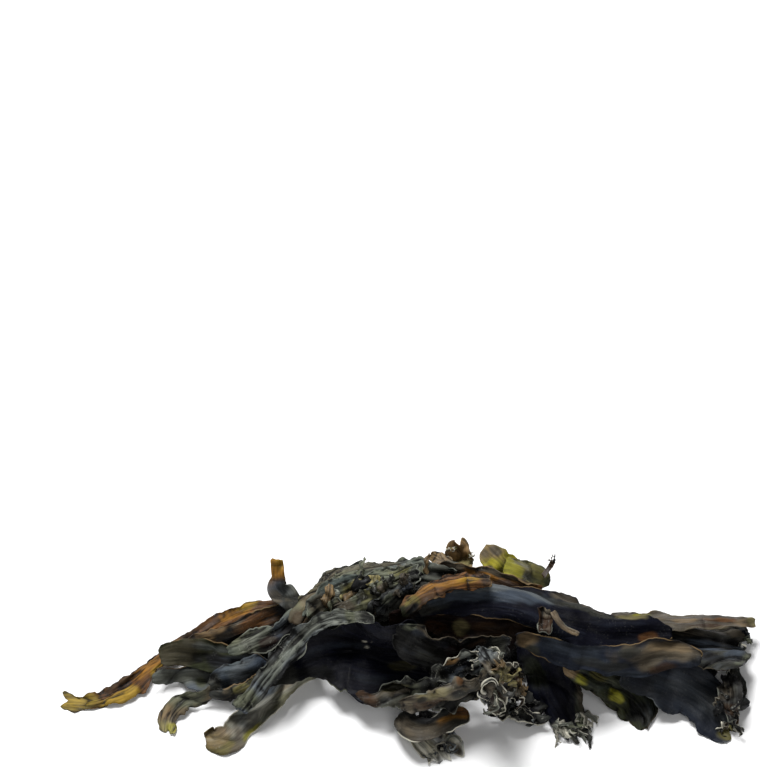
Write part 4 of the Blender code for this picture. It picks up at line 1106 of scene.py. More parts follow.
class Sheet:
    """One blade's fine surface, crinkled, with the masks that its material reads."""

    def __init__(self, blade: Blade, seed: int, points: Grid) -> None:
        """Takes the fine points on the table's axes, in millimetres."""
        self.blade = blade
        self.skin = blade.skin
        self.grain = Grain(SHEET_SEED + seed)
        self.points = points
        self.seed = seed
        self.v = np.linspace(-1, 1, points.shape[1])[None, :]
        self.measure()

    def measure(self) -> None:
        """Works out distances along, across and from the rim, in millimetres."""
        across = np.linalg.norm(np.diff(self.points, axis=1), axis=2)
        from_low = np.concatenate([np.zeros((len(self.points), 1)), np.cumsum(across, axis=1)], axis=1)
        along = np.linalg.norm(np.diff(self.points, axis=0), axis=2)
        from_root = np.concatenate([np.zeros((1, self.points.shape[1])), np.cumsum(along, axis=0)])
        middle = self.points.shape[1] // 2
        self.t = from_low - from_low[:, middle : middle + 1]
        self.s = np.broadcast_to(from_root[:, middle : middle + 1], self.t.shape)
        self.half = from_low[:, -1:] / 2
        edges = (from_low, from_low[:, -1:] - from_low, from_root, from_root[-1:] - from_root)
        self.rim_distance = np.minimum.reduce(edges)

    def normals(self) -> Grid:
        """The sheet's directions, turned towards the viewer and smoothed."""
        raw = unit(np.cross(np.gradient(self.points, axis=0), np.gradient(self.points, axis=1)))
        angle = math.radians(LAYING.look_down)
        towards = np.array([0.0, -math.cos(angle), math.sin(angle)])
        raw = raw * np.where(raw @ towards < 0, -1, 1)[:, :, None]
        return unit(blurred(raw, RELIEF.normal_blur))

    def noise(self, ripple: Ripple) -> Grid:
        """A ripple by its share, over the sheet."""
        return self.grain.at(self.s, self.t, ripple)

    def wrinkles(self) -> Grid:
        """Noise with sharp crests and round valleys, about 0 on the whole."""
        warp = self.noise(WRINKLE_WARP)
        total = 0
        for ripple in WRINKLES:
            wave = self.grain.plain(self.s, self.t + ripple.sway * warp, ripple)
            total = total + ripple.share * ((1 - np.abs(wave)) ** 2 - RELIEF.ridge_level)
        return total

    def folds(self) -> Grid:
        """Lengthwise folds as in paper, which wander and run out. Their ripples' widths are in fold gaps."""
        warp = self.grain.total(self.s, self.t, FOLD_WARP)
        total = 0
        for ripple in FOLDS:
            spaced = replace(ripple, width=ripple.width * self.skin.fold_gap)
            total = total + self.grain.at(self.s, self.t + ripple.sway * warp, spaced)
        return total

    def dents(self) -> Grid:
        """Angular dents as in crushed paper."""
        warp = self.noise(DENT_WARP)
        slant = RELIEF.dent_slant * self.t
        along, across, small = DENTS
        return (
            self.grain.at(self.s - slant, self.t + warp, along)
            + self.grain.at(self.t + warp, self.s + slant, across)
            + self.grain.at(self.s, self.t - slant, small)
        )

    def crinkle(self) -> None:
        """Raises folds, wrinkles, dents, a fluttering rim and its lip along the sheet's own directions."""
        skin = self.skin
        along_rim = self.v + 0 * self.s
        zone = np.clip(RELIEF.zone_level + self.noise(ZONES), *RELIEF.zone_limits)
        flutter = self.grain.total(along_rim, self.s, FLUTTERS)
        near = ease(RELIEF.flutter_reach, 0.0, self.rim_distance)
        lip = (1 - np.clip(self.rim_distance / RELIEF.lip_width, 0, 1)) ** 2
        turned = np.clip(RELIEF.lip_level + self.grain.at(self.s, along_rim, LIP_TURNS), *RELIEF.lip_limits)
        lift = skin.fold * zone * self.folds() + skin.wrinkle * (RELIEF.zone_swap - zone) * self.wrinkles()
        lift = lift + skin.crumple * self.dents() + skin.flutter * near * flutter + skin.lip * lip * turned
        lift = lift * np.clip(self.half / RELIEF.narrow_half, RELIEF.narrow_least, 1)
        self.points = self.points + self.normals() * lift[:, :, None]
        self.points[:, :, 2] = np.maximum(self.points[:, :, 2], CUT.wall / 2)

    def crest(self) -> Grid:
        """How far each point stands out of the sheet round it, from -1 in valleys to 1 on crests."""
        normals = self.normals()
        total = 0
        for swell in SWELLS:
            out = self.points - blurred(self.points, swell.cells, swell.axes)
            total = total + swell.share * (np.sum(out * normals, axis=2) / swell.height)
        return np.clip(total, -1, 1)

    def rim(self) -> Grid:
        """How strongly the rim's tone, which is partly a painted highlight, shows, from 0 to 1, in broken
        stretches away from the root.
        """
        low, high = self.blade.rims or self.skin.rims
        broken = np.where(self.v < 0, low, high) + self.grain.at(self.s, self.v + 0 * self.s, RIM_BREAKS)
        level = np.clip(broken, 0, 1) * ease(*RELIEF.rim_starts, self.s)
        return (1 - np.clip(self.rim_distance / RELIEF.lip_width, 0, 1)) * level

    def away(self, along: float, across: float, length: float, width: float) -> Grid:
        """How far each point is from a place on the sheet.

        Args:
            along: The place, as a share of the sheet's length.
            across: The place, from -1 to 1 of its half width.
            length: What counts as 1 along, in millimetres.
            width: What counts as 1 across, in millimetres.

        Returns:
            Distances in those lengths and widths.
        """
        ds = (self.s - along * self.s.max()) / length
        dt = (self.v - across) * self.half / width
        return np.hypot(ds, dt)

    def tint(self) -> Grid:
        """The blade's own tone, with its spots of other tones laid over; a few spots are painted glints, sheen
        and shade.
        """
        warm = self.grain.total(self.s, self.t, WARMTH)
        colour = np.array(self.blade.tone.value) * (1 + warm[:, :, None] * np.array(RELIEF.warm_swing))
        for step, spot in enumerate(Spot(*values) for values in self.blade.spots):
            away = self.away(spot.along, spot.across, spot.size * spot.stretch, spot.size)
            away = away + self.grain.total(self.s, self.t, SPOT_EDGES, step)
            weight = spot.strength * (1 - ease(*RELIEF.spot_fade, away))
            colour += weight[:, :, None] * (np.array(spot.tone.value) - colour)
        return colour

    def faces(self) -> Grid:
        """The grid's four-sided faces, without those where the blade has holes."""
        quads = grid_faces(*self.t.shape)
        keep = np.ones(quads.shape[:2], bool)
        uneven = self.noise(HOLE_EDGES)
        for along, across, radius in self.blade.holes:
            keep &= (self.away(along, across, radius, radius) + uneven)[:-1, :-1] > 1
        return quads[keep]

    def mesh(self, shift: Grid) -> bpy.types.Mesh:
        """Makes the mesh with its masks.

        Args:
            shift: The bundle's move on to the model's own origin, in millimetres.

        Returns:
            A single-walled mesh in metres.
        """
        used, quads = np.unique(self.faces(), return_inverse=True)
        place = np.stack([self.s, self.t, self.s * 0 + RELIEF.blade_step * self.seed], axis=2)
        flat = {
            "tint": np.concatenate([self.tint(), np.ones((*self.t.shape, 1))], axis=2).reshape(-1, 4),
            "crest": self.crest().reshape(-1, 1),
            "rim": self.rim().reshape(-1, 1),
            "place": place.reshape(-1, 3) / RELIEF.place_unit,
        }
        masks = {name: values[used] for name, values in flat.items()}
        points = (self.points + shift).reshape(-1, 3)[used] * MM
        return masked_mesh(f"{self.blade.name}_sheet", points, quads.reshape(-1, 4), masks)


class Kind(Enum):
    """What goes through a node group's socket."""

    NUMBER = "NodeSocketFloat"
    COLOUR = "NodeSocketColor"
    VECTOR = "NodeSocketVector"


@dataclass(frozen=True)
class Speckle:
    """Noise in a material: how many features to the centimetre, how detailed, and how drawn out."""

    scale: float
    detail: float
    stretch: tuple[float, float, float] = (1, 1, 1)


class Graph:
    """Adds nodes to one node tree."""

    noise_roughness: float = 0.6

    def __init__(self, tree: bpy.types.NodeTree) -> None:
        """Keeps the tree that the nodes go into."""
        self.tree = tree

    def add(self, kind: str, inputs: dict[str, object] | None = None, **settings: object) -> bpy.types.Node:
        """Adds a node.

        Args:
            kind: The node's type.
            inputs: What feeds or sets each of its sockets, by name.
            settings: Its own properties.

        Returns:
            The new node.
        """
        node = self.tree.nodes.new(kind)
        for name, value in settings.items():
            setattr(node, name, value)
        for name, value in (inputs or {}).items():
            self.feed(node.inputs[name], value)
        return node

    def feed(self, socket: Socket, value: object) -> None:
        """Links a socket to another, or sets its value."""
        if isinstance(value, Socket):
            self.tree.links.new(value, socket)
        else:
            socket.default_value = value

    def math(self, operation: str, a: object, b: object = 0.0) -> Socket:
        """Works out one sum on two values.

        Args:
            operation: The sum's name.
            a: The first value, or what gives it.
            b: The second value, or what gives it.

        Returns:
            The socket that gives the result.
        """
        node = self.add("ShaderNodeMath", operation=operation)
        self.feed(node.inputs[0], a)
        self.feed(node.inputs[1], b)
        return node.outputs[0]

    def plus(self, a: object, b: object) -> Socket:
        """Two values added up."""
        return self.math("ADD", a, b)

    def times(self, a: object, b: object) -> Socket:
        """One value multiplied by another."""
        return self.math("MULTIPLY", a, b)

    def ramp(self, value: object, low: float, high: float, start: float = 0.0, end: float = 1.0) -> Socket:
        """A smooth step of a value, from one range to another."""
        names = {"Value": value, "From Min": low, "From Max": high, "To Min": start, "To Max": end}
        return self.add("ShaderNodeMapRange", names, interpolation_type="SMOOTHSTEP").outputs["Result"]

    def mix(self, share: object, a: object, b: object, blend: str = "MIX") -> Socket:
        """One colour laid over another.

        Args:
            share: How much of the second shows.
            a: The first colour.
            b: The second colour.
            blend: How they are laid over each other.

        Returns:
            The colour that comes out.
        """
        node = self.add("ShaderNodeMix", data_type="RGBA", blend_type=blend)
        self.feed(node.inputs[0], share)
        self.feed(node.inputs[6], a)
        self.feed(node.inputs[7], b)
        return node.outputs[2]

    def noise(self, place: object, speckle: Speckle) -> Socket:
        """Adds noise over the blade's own distances.

        Args:
            place: What gives the distances.
            speckle: What the noise is like.

        Returns:
            The socket that gives it, from 0 to 1.
        """
        mapping = self.add("ShaderNodeMapping", {"Vector": place, "Scale": speckle.stretch})
        inputs = {"Vector": mapping.outputs[0], "Scale": speckle.scale, "Detail": speckle.detail,
                  "Roughness": self.noise_roughness}
        return self.add("ShaderNodeTexNoise", inputs).outputs["Fac"]

    def mask(self, name: str) -> Socket:
        """One of the masks that a blade's mesh carries."""
        node = self.add("ShaderNodeAttribute", attribute_type="GEOMETRY", attribute_name=name)
        return node.outputs[{"tint": "Color", "place": "Vector"}.get(name, "Fac")]


class Effect:
    """A shader node group, made once and placed in every material that uses it."""

    name: str = ""
    takes: dict[str, Kind] = {}
    usual: dict[str, float] = {}
    gives: dict[str, Kind] = {}

    def __init__(self) -> None:
        """Makes the group and its sockets, and fills it."""
        self.tree = bpy.data.node_groups.new(self.name, "ShaderNodeTree")
        for socket, kind in self.takes.items():
            made = self.tree.interface.new_socket(socket, in_out="INPUT", socket_type=kind.value)
            if socket in self.usual:
                made.default_value = self.usual[socket]
        for socket, kind in self.gives.items():
            self.tree.interface.new_socket(socket, in_out="OUTPUT", socket_type=kind.value)
        graph = Graph(self.tree)
        taken = graph.add("NodeGroupInput").outputs
        graph.add("NodeGroupOutput", self.fill(graph, taken))

    def fill(self, graph: Graph, taken: Outputs) -> dict[str, Socket]:
        """Adds the group's nodes.

        Args:
            graph: Where the nodes go.
            taken: What the group takes.

        Returns:
            What feeds each output, by name.
        """
        raise NotImplementedError

    def placed(self, graph: Graph, inputs: dict[str, object]) -> Outputs:
        """Places the group in a material and returns its outputs."""
        return graph.add("ShaderNodeGroup", inputs, node_tree=self.tree).outputs


class SaltFlecks(Effect):
    """Pale specks of dried salt."""

    name = "salt_flecks"
    takes = {"Place": Kind.VECTOR, "Amount": Kind.NUMBER}
    usual = {"Amount": 0.3}
    gives = {"Mask": Kind.NUMBER}
    specks = Speckle(16.0, 3.0)
    beds = Speckle(2.2, 2.0)
    speck_range: Pair = (0.56, 0.70)
    bed_range: Pair = (0.42, 0.62)

    def fill(self, graph: Graph, taken: Outputs) -> dict[str, Socket]:
        """Specks where fine noise peaks, gathered by broad noise."""
        specks = graph.noise(taken["Place"], self.specks)
        beds = graph.noise(taken["Place"], self.beds)
        salty = graph.times(graph.ramp(specks, *self.speck_range), graph.ramp(beds, *self.bed_range))
        return {"Mask": graph.times(salty, taken["Amount"])}


class BladeColour(Effect):
    """The blade's tint, mottled and finely lined, with painted shade in valleys, a painted highlight on crests
    and a pale rim that is partly a painted highlight.
    """

    name = "blade_colour"
    takes = {
        "Tint": Kind.COLOUR, "Highlight Tone": Kind.COLOUR, "Rim Tone": Kind.COLOUR, "Crest": Kind.NUMBER,
        "Rim": Kind.NUMBER, "Place": Kind.VECTOR, "Mottle": Kind.NUMBER, "Highlight Share": Kind.NUMBER,
        "Flecks": Kind.NUMBER, "Lines And Valley Shade": Kind.NUMBER,
    }
    usual = {"Crest": 0.0, "Rim": 0.0, "Mottle": 0.3, "Highlight Share": 0.5, "Flecks": 0.0, "Lines And Valley Shade": 1.0}
    gives = {"Colour": Kind.COLOUR}
    streaks = Speckle(3.0, 5.0, (0.25, 1.5, 1))
    lines = Speckle(9.0, 3.0, (0.12, 1.3, 1))
    blotches = Speckle(1.6, 3.0)
    streak_share: float = 1.2
    blotch_share: float = 0.8
    swing: float = 3.0
    line_range: tuple[float, float, float, float] = (0.32, 0.66, -0.55, 0.45)
    # Painted shade: the tint darkens where the crest mask falls into valleys.
    valley_shade_range: tuple[float, float, float, float] = (-0.8, 0.15, 0.88, 0.0)
    darkest: float = 0.08
    unevenness: float = 0.9
    # Painted highlight: the tint is made lighter on crests and turned towards the skin's crest tone.
    highlight_range: Pair = (0.3, 1.0)
    highlight_gain: float = 1.95
    highlight_toned: float = 0.3
    # The rim tone is partly the blade's own paler edge and partly a painted highlight.
    rim_unevenness: float = 0.4
    rim_range: Pair = (0.6, 0.9)
    salt: tuple[float, float, float, float] = (0.5, 0.5, 0.44, 1.0)

    def fill(self, graph: Graph, taken: Outputs) -> dict[str, Socket]:
        """Mottling, lines and painted shade in valleys first, then the painted crest highlight, the partly
        painted pale rim and flecks.
        """
        streaks = graph.noise(taken["Place"], self.streaks)
        lined = self.lined(graph, taken, streaks)
        shade = graph.math("MAXIMUM", lined, self.darkest)
        grey = graph.add("ShaderNodeCombineColor", {"Red": shade, "Green": shade, "Blue": shade}).outputs[0]
        base = graph.mix(1.0, taken["Tint"], grey, "MULTIPLY")
        rough = graph.times(graph.math("SUBTRACT", streaks, 0.5), self.unevenness)
        # Painted highlight on the crests.
        crest = graph.ramp(graph.plus(taken["Crest"], rough), *self.highlight_range)
        brightened_highlight = graph.mix(1.0, taken["Tint"], (*[self.highlight_gain] * 3, 1.0), "MULTIPLY")
        light = graph.mix(self.highlight_toned, brightened_highlight, taken["Highlight Tone"])
        with_highlight = graph.mix(graph.times(crest, taken["Highlight Share"]), base, light)
        # Pale rim, partly the blade's own paler edge and partly a painted highlight.
        rim = graph.plus(taken["Rim"], graph.times(rough, self.rim_unevenness))
        rimmed = graph.mix(graph.ramp(rim, *self.rim_range), with_highlight, taken["Rim Tone"])
        return {"Colour": graph.mix(taken["Flecks"], rimmed, self.salt)}

    def lined(self, graph: Graph, taken: Outputs, streaks: Socket) -> Socket:
        """How light the mottling, the lines and the painted shade in valleys leave the tint.

        Args:
            graph: Where the nodes go.
            taken: What the group takes.
            streaks: The noise of long streaks.

        Returns:
            A factor on the tint, about 1 on the whole.
        """
        lines = graph.ramp(graph.noise(taken["Place"], self.lines), *self.line_range)
        lines = graph.plus(graph.times(lines, taken["Lines And Valley Shade"]), 1.0)
        blotches = graph.times(graph.noise(taken["Place"], self.blotches), self.blotch_share)
        uneven = graph.plus(graph.times(streaks, self.streak_share), blotches)
        mottle = graph.times(graph.math("SUBTRACT", uneven, 1.0), taken["Mottle"])
        level = graph.plus(graph.times(mottle, self.swing), 1.0)
        # Painted shade in the valleys, scaled with the lines.
        valley_shade = graph.times(graph.ramp(taken["Crest"], *self.valley_shade_range), taken["Lines And Valley Shade"])
        return graph.times(graph.times(level, lines), graph.math("SUBTRACT", 1.0, valley_shade))


class BladeGrain(Effect):
    """The fine relief of a dried blade: lengthwise creases and a pebbled skin."""

    name = "blade_grain"
    takes = {"Place": Kind.VECTOR}
    gives = {"Height": Kind.NUMBER}
    creases = Speckle(9.0, 5.0, (0.22, 1.0, 1))
    pebbles = Speckle(22.0, 3.0)
    pebble_share: float = 0.35

    def fill(self, graph: Graph, taken: Outputs) -> dict[str, Socket]:
        """Long creases with finer pebbling over them."""
        creases = graph.noise(taken["Place"], self.creases)
        pebbles = graph.noise(taken["Place"], self.pebbles)
        return {"Height": graph.plus(creases, graph.times(pebbles, self.pebble_share))}


class BladeGloss(Effect):
    """Roughness over a blade: satin faces, duller crests and rims."""

    name = "blade_gloss"
    takes = {"Place": Kind.VECTOR, "Crest": Kind.NUMBER, "Rim": Kind.NUMBER, "Satin": Kind.NUMBER}
    usual = {"Crest": 0.0, "Rim": 0.0, "Satin": 0.5}
    gives = {"Roughness": Kind.NUMBER}
    patches = Speckle(2.5, 3.0)
    patch_share: float = 0.5
    worn_share: float = 0.12
    limits: Pair = (0.1, 0.95)

    def fill(self, graph: Graph, taken: Outputs) -> dict[str, Socket]:
        """Broad noise, with the crests and rim added."""
        patches = graph.math("SUBTRACT", graph.noise(taken["Place"], self.patches), 0.5)
        broad = graph.times(patches, self.patch_share)
        worn = graph.times(graph.math("MAXIMUM", taken["Crest"], taken["Rim"]), self.worn_share)
        total = graph.plus(graph.plus(taken["Satin"], broad), worn)
        return {"Roughness": graph.ramp(total, *self.limits, *self.limits)}


class Dresser:
    """Makes one material for each kind of skin."""

    bump_depth: float = 0.3
    bump_strength: float = 0.8

    def __init__(self) -> None:
        """Makes the effects that all the skins share."""
        self.flecks = SaltFlecks()
        self.colour = BladeColour()
        self.grain = BladeGrain()
        self.gloss = BladeGloss()
        self.made: dict[str, bpy.types.Material] = {}

    def material(self, skin: Skin) -> bpy.types.Material:
        """The skin's material, made when it is first asked for."""
        if skin.name not in self.made:
            self.made[skin.name] = self.make(skin)
        return self.made[skin.name]

    def make(self, skin: Skin) -> bpy.types.Material:
        """Builds the material.

        Args:
            skin: The kind of blade.

        Returns:
            A Principled material that reads the blade's masks.
        """
        material = bpy.data.materials.new(skin.name)
        material.use_nodes = True
        graph = Graph(material.node_tree)
        inputs = material.node_tree.nodes["Principled BSDF"].inputs
        shared = {"Place": graph.mask("place"), "Crest": graph.mask("crest"), "Rim": graph.mask("rim")}
        place = {"Place": shared["Place"]}
        flecks = self.flecks.placed(graph, place | {"Amount": skin.fleck})["Mask"]
        # The colour takes the skin's crest tone for its painted crest highlight and paints shade in valleys.
        colour = self.colour.placed(graph, shared | {
            "Tint": graph.mask("tint"), "Highlight Tone": (*skin.crest.value, 1.0),
            "Rim Tone": (*skin.rim.value, 1.0), "Mottle": skin.mottle, "Highlight Share": skin.highlight_share,
            "Flecks": flecks, "Lines And Valley Shade": skin.lines,
        })["Colour"]
        gloss = self.gloss.placed(graph, shared | {"Satin": skin.roughness})["Roughness"]
        height = self.grain.placed(graph, place)["Height"]
        bump = graph.add("ShaderNodeBump", {
            "Height": height, "Distance": self.bump_depth * MM, "Strength": self.bump_strength,
        })
        graph.feed(inputs["Base Color"], colour)
        graph.feed(inputs["Roughness"], gloss)
        graph.feed(inputs["Normal"], bump.outputs["Normal"])
        inputs["Specular IOR Level"].default_value = skin.specular
        return material


@dataclass(frozen=True)
class Tuft:
    """Crisp curled slivers that stand on one blade. Lengths are in millimetres, and angles in degrees.

    Along and across are the ranges on the blade where they root, as shares of its length and from -1 to 1
    of its half width. Spread is how far they turn from the blade's own direction either way. Curl is how
    far a sliver rolls up from root to end, and on_edge is the share of them that stand on edge, so that they
    curl like a watch spring. Rise is how steeply they leave the blade, and rim is how pale their rims can
    be, from 0 to 1; that paleness is partly a painted highlight.
    """

    host: str
    count: int
    along: Pair = (0.0, 1.0)
    across: Pair = (-1.0, 1.0)
    length: Pair = (4.0, 9.0)
    width: Pair = (1.0, 2.6)
    curl: float = 250.0
    spread: float = 180.0
    on_edge: float = 0.4
    rise: Pair = (5.0, 60.0)
    rim: float = 1.0
    tones: tuple[Tone, ...] = (PITCH, DRAB, STEEL)


TUFTS = (
    Tuft("black_frill", 30, tones=(INK, PITCH, STEEL, DRAB)),
    Tuft("tan_frill", 15, along=(0.3, 1.0), width=(1.4, 3.2), curl=200.0,
        tones=(TAN, UMBER, KHAKI, PITCH, TAN)),
    Tuft("curl_ring", 7, length=(7.0, 11.0), curl=380.0, on_edge=0.8, tones=(SAGE, ASH, DRAB)),
    Tuft("grey_frilled_leaf", 7, along=(0.5, 1.0), curl=160.0, width=(1.4, 3.0), tones=(ASH, STEEL, ASH)),
    Tuft("lower_band", 8, along=(0.8, 1.0), tones=(DRAB, PITCH, TAUPE)),
    Tuft("front_cup_lower", 10, along=(0.62, 0.88), across=(-0.5, 0.6), length=(5.0, 8.0), width=(0.8, 1.5),
        curl=340.0, on_edge=0.9, rise=(0.0, 30.0), tones=(ASH, PALE, PALE, STEEL)),
    Tuft("hanging_sheet", 24, along=(0.78, 0.93), length=(4.0, 8.0), width=(1.0, 2.4), curl=35.0,
        spread=14.0, on_edge=0.2, rise=(0.0, 20.0), tones=(DRAB, ASH, SAGE, PALE, ASH, KHAKI)),
    Tuft("corner_sheet", 12, along=(0.88, 1.0), across=(-0.2, 1.0), length=(2.5, 6.0),
        tones=(ASH, DRAB, PALE, TAUPE, OLIVE)),
    Tuft("right_fringe_grey", 6, length=(2.5, 5.0), curl=120.0, tones=(STEEL, SAGE, PITCH)),
    Tuft("right_fringe_brown", 6, length=(2.5, 5.0), curl=120.0, tones=(UMBER, PITCH, TAUPE)),
    Tuft("right_upper_sheet", 8, along=(0.96, 1.0), curl=100.0, spread=50.0, length=(1.5, 4.0),
        tones=(NAVY, DRAB, STEEL, SAGE)),
    Tuft("crumple_left", 9, rim=0.4, length=(3.0, 5.5), width=(1.6, 3.2), curl=120.0, rise=(20.0, 45.0),
        on_edge=0.2, tones=(TAUPE, SAGE, DRAB)),
    Tuft("crumple_right", 8, rim=0.4, length=(3.0, 5.5), width=(1.6, 3.2), curl=120.0, rise=(20.0, 45.0),
        on_edge=0.2, tones=(PITCH, STEEL, NAVY, TAUPE)),
    Tuft("top_ragged_leaf", 3, along=(0.5, 1.0), length=(1.5, 3.5), tones=(TAN, OLIVE, TAN)),
    Tuft("twig", 4, along=(0.8, 1.0), length=(1.5, 3.5), width=(0.4, 0.7), curl=100.0, spread=70.0,
        tones=(UMBER, PITCH)),
    Tuft("arch_fold", 11, along=(0.2, 0.9), across=(-0.9, 0.4), length=(4.0, 7.0), width=(2.4, 4.8),
        curl=110.0, on_edge=0.0, rise=(20.0, 40.0), rim=0.6, tones=(KHAKI, PITCH, ASH, TAN, SAGE)),
    Tuft("arch_blade", 8, along=(0.25, 0.85), across=(-0.8, 0.3), length=(4.0, 7.0), width=(2.2, 4.2),
        curl=90.0, spread=40.0, on_edge=0.0, rise=(15.0, 35.0), rim=0.6, tones=(TAN, SAGE, TAUPE, DRAB)),
)


@dataclass
class CrispCurls:
    """Tufts of crisp curled slivers on torn rims and frills, in millimetres and radians."""

    tufts: tuple[Tuft, ...]
    dresser: Dresser
    steps: int = 14
    strips: int = 4
    wall: float = 0.14
    roll_share: Pair = (0.3, 1.1)
    roll_power: Pair = (0.8, 2.0)
    sway: float = 0.6
    sway_turns: Pair = (0.3, 1.0)
    twist: float = 1.2
    first_twist: float = 0.5
    taper: float = 0.55
    bulge: float = 0.3
    bulge_waves: Pair = (5, 14)
    keel_height: float = 0.3
    ruffle: float = 0.3
    ruffle_waves: Pair = (8, 20)
    ruffle_slant: float = 2.5
    ruffle_starts: Pair = (0, 6)
    shades: Pair = (0.7, 1.4)
    # A sliver's crest mask is set, not measured: its sides take the painted crest highlight and its middle the
    # painted valley shade.
    crest_swing: float = 0.8
    crest_middle: float = 0.4
    # How pale a sliver's rims are, partly a painted highlight.
    rims: tuple[float, float, float] = (0.0, 0.7, 1.0)
    rim_power: float = 0.8
    place_along: float = 0.4
    place_across: float = 0.1

    def build(self, sheets: dict[str, Sheet], shift: Grid) -> None:
        """Makes one piece for each tuft, on its blade's finished sheet."""
        for number, tuft in enumerate(self.tufts):
            self.add_piece(tuft, sheets[tuft.host], random.Random(CURL_SEED + number), shift)

    def path(self, tuft: Tuft, axes: tuple[Grid, Grid, Grid], draw: random.Random) -> tuple[Grid, Grid]:
        """One sliver's middle line from its root, and its sideways directions.

        Args:
            tuft: The tuft that it belongs to.
            axes: The blade's own direction, its sideways direction and its normal at the root.
            draw: The seeded source of its shape.

        Returns:
            Points in millimetres, and one sideways direction for each.
        """
        along, side, normal = axes
        heading = math.radians(draw.uniform(-tuft.spread, tuft.spread))
        forward = math.cos(heading) * along + math.sin(heading) * side
        beside = np.cross(normal, forward)
        u = np.linspace(0, 1, self.steps + 1)[:, None]
        rise = math.radians(draw.uniform(*tuft.rise))
        roll = math.radians(tuft.curl) * draw.uniform(*self.roll_share) * draw.choice((-1, 1))
        pitch = rise + roll * u ** draw.uniform(*self.roll_power)
        sway = self.sway * np.sin(2 * math.pi * (draw.uniform(*self.sway_turns) * u + draw.random()))
        plane, axle = (beside, normal) if draw.random() < tuft.on_edge else (normal, beside)
        headed = unit(np.cos(pitch) * forward + np.sin(pitch) * plane + sway * axle)
        length = draw.uniform(*tuft.length)
        points = np.cumsum(headed, axis=0) * length / self.steps
        twist = draw.uniform(-self.twist, self.twist) * u + draw.uniform(-self.first_twist, self.first_twist)
        across = np.cos(twist) * axle + np.sin(twist) * np.cross(headed, axle)
        return points - points[:1], across

    def sliver(
        self, tuft: Tuft, root: Grid, path: tuple[Grid, Grid], draw: random.Random
    ) -> tuple[Grid, Grid]:
        """One sliver's surface, keeled and ruffled.

        Args:
            tuft: The tuft that it belongs to.
            root: Where it stands on the blade.
            path: Its middle line from the root, and its sideways directions.
            draw: The seeded source of its shape.

        Returns:
            Points in millimetres, and how far each is from the middle line.
        """
        line, across = path
        u = np.linspace(0, 1, self.steps + 1)[:, None]
        w = np.linspace(-1, 1, self.strips + 1)[None, :]
        width = draw.uniform(*tuft.width) * (1 - self.taper * u**2)
        width = width * (1 + self.bulge * np.sin(draw.uniform(*self.bulge_waves) * u))
        keel = unit(np.cross(np.gradient(line, axis=0), across))
        waves = draw.uniform(*self.ruffle_waves) * u + self.ruffle_slant * w
        ruffle = w * np.sin(waves + draw.uniform(*self.ruffle_starts))
        sideways = width / 2 * w
        raised = width * (self.keel_height * (1 - w**2) + self.ruffle * ruffle)
        leaf = root + line[:, None] + sideways[:, :, None] * across[:, None]
        return leaf + raised[:, :, None] * keel[:, None], sideways

    def add_piece(self, tuft: Tuft, sheet: Sheet, draw: random.Random, shift: Grid) -> None:
        """Makes the tuft's slivers as one piece that rides with the bundle.

        Args:
            tuft: The tuft to make.
            sheet: The finished sheet that it stands on.
            draw: The seeded source of its shapes.
            shift: The bundle's move on to the model's own origin, in millimetres.
        """
        rows, columns = sheet.t.shape
        normals = sheet.normals()
        along_axis = np.gradient(sheet.points, axis=0)
        quads = grid_faces(self.steps + 1, self.strips + 1)[..., [0, 3, 2, 1]]
        u = np.linspace(0, 1, self.steps + 1)[:, None]
        w = np.linspace(-1, 1, self.strips + 1)[None, :]
        flat = 0 * u + 0 * w
        parts = {"points": [], "tint": [], "crest": [], "rim": [], "place": [], "quads": []}
        for number in range(tuft.count):
            i = min(rows - 1, int(draw.uniform(*tuft.along) * rows))
            j = min(columns - 1, int((draw.uniform(*tuft.across) + 1) / 2 * columns))
            along = along_axis[i, j] / max(np.linalg.norm(along_axis[i, j]), TINY)
            axes = (along, np.cross(normals[i, j], along), normals[i, j])
            leaf, sideways = self.sliver(tuft, sheet.points[i, j], self.path(tuft, axes, draw), draw)
            parts["points"].append(leaf)
            shade = draw.uniform(*self.shades) * np.array(draw.choice(tuft.tones).value)
            parts["tint"].append(np.broadcast_to([*shade, 1.0], (*flat.shape, 4)))
            # Painted highlight along the sides and painted shade down the middle.
            parts["crest"].append((self.crest_swing * np.abs(w) - self.crest_middle + flat)[:, :, None])
            # Pale rim, partly a painted highlight.
            rim = draw.choice(self.rims) * tuft.rim * np.abs(w) ** self.rim_power
            parts["rim"].append((rim + flat)[:, :, None])
            place = (self.place_along * u + flat, self.place_across * sideways, number + flat)
            parts["place"].append(np.stack(place, axis=2))
            parts["quads"].append(quads + flat.size * number)
        joined = {name: np.concatenate([grid.reshape(-1, grid.shape[-1]) for grid in grids])
                  for name, grids in parts.items()}
        points = joined.pop("points")
        points[:, 2] = np.maximum(points[:, 2], self.wall / 2)
        mesh = masked_mesh(f"{tuft.host}_curls", (points + shift) * MM, joined.pop("quads"), joined)
        mesh.materials.append(self.dresser.material(PALE_FRILL))
        put_piece(mesh, self.wall)


def grid_faces(rows: int, columns: int) -> Grid:
    """The four-sided faces of a grid of points, by row and column."""
    corner = np.arange(rows - 1)[:, None] * columns + np.arange(columns - 1)[None, :]
    return np.stack([corner, corner + columns, corner + columns + 1, corner + 1], axis=2)


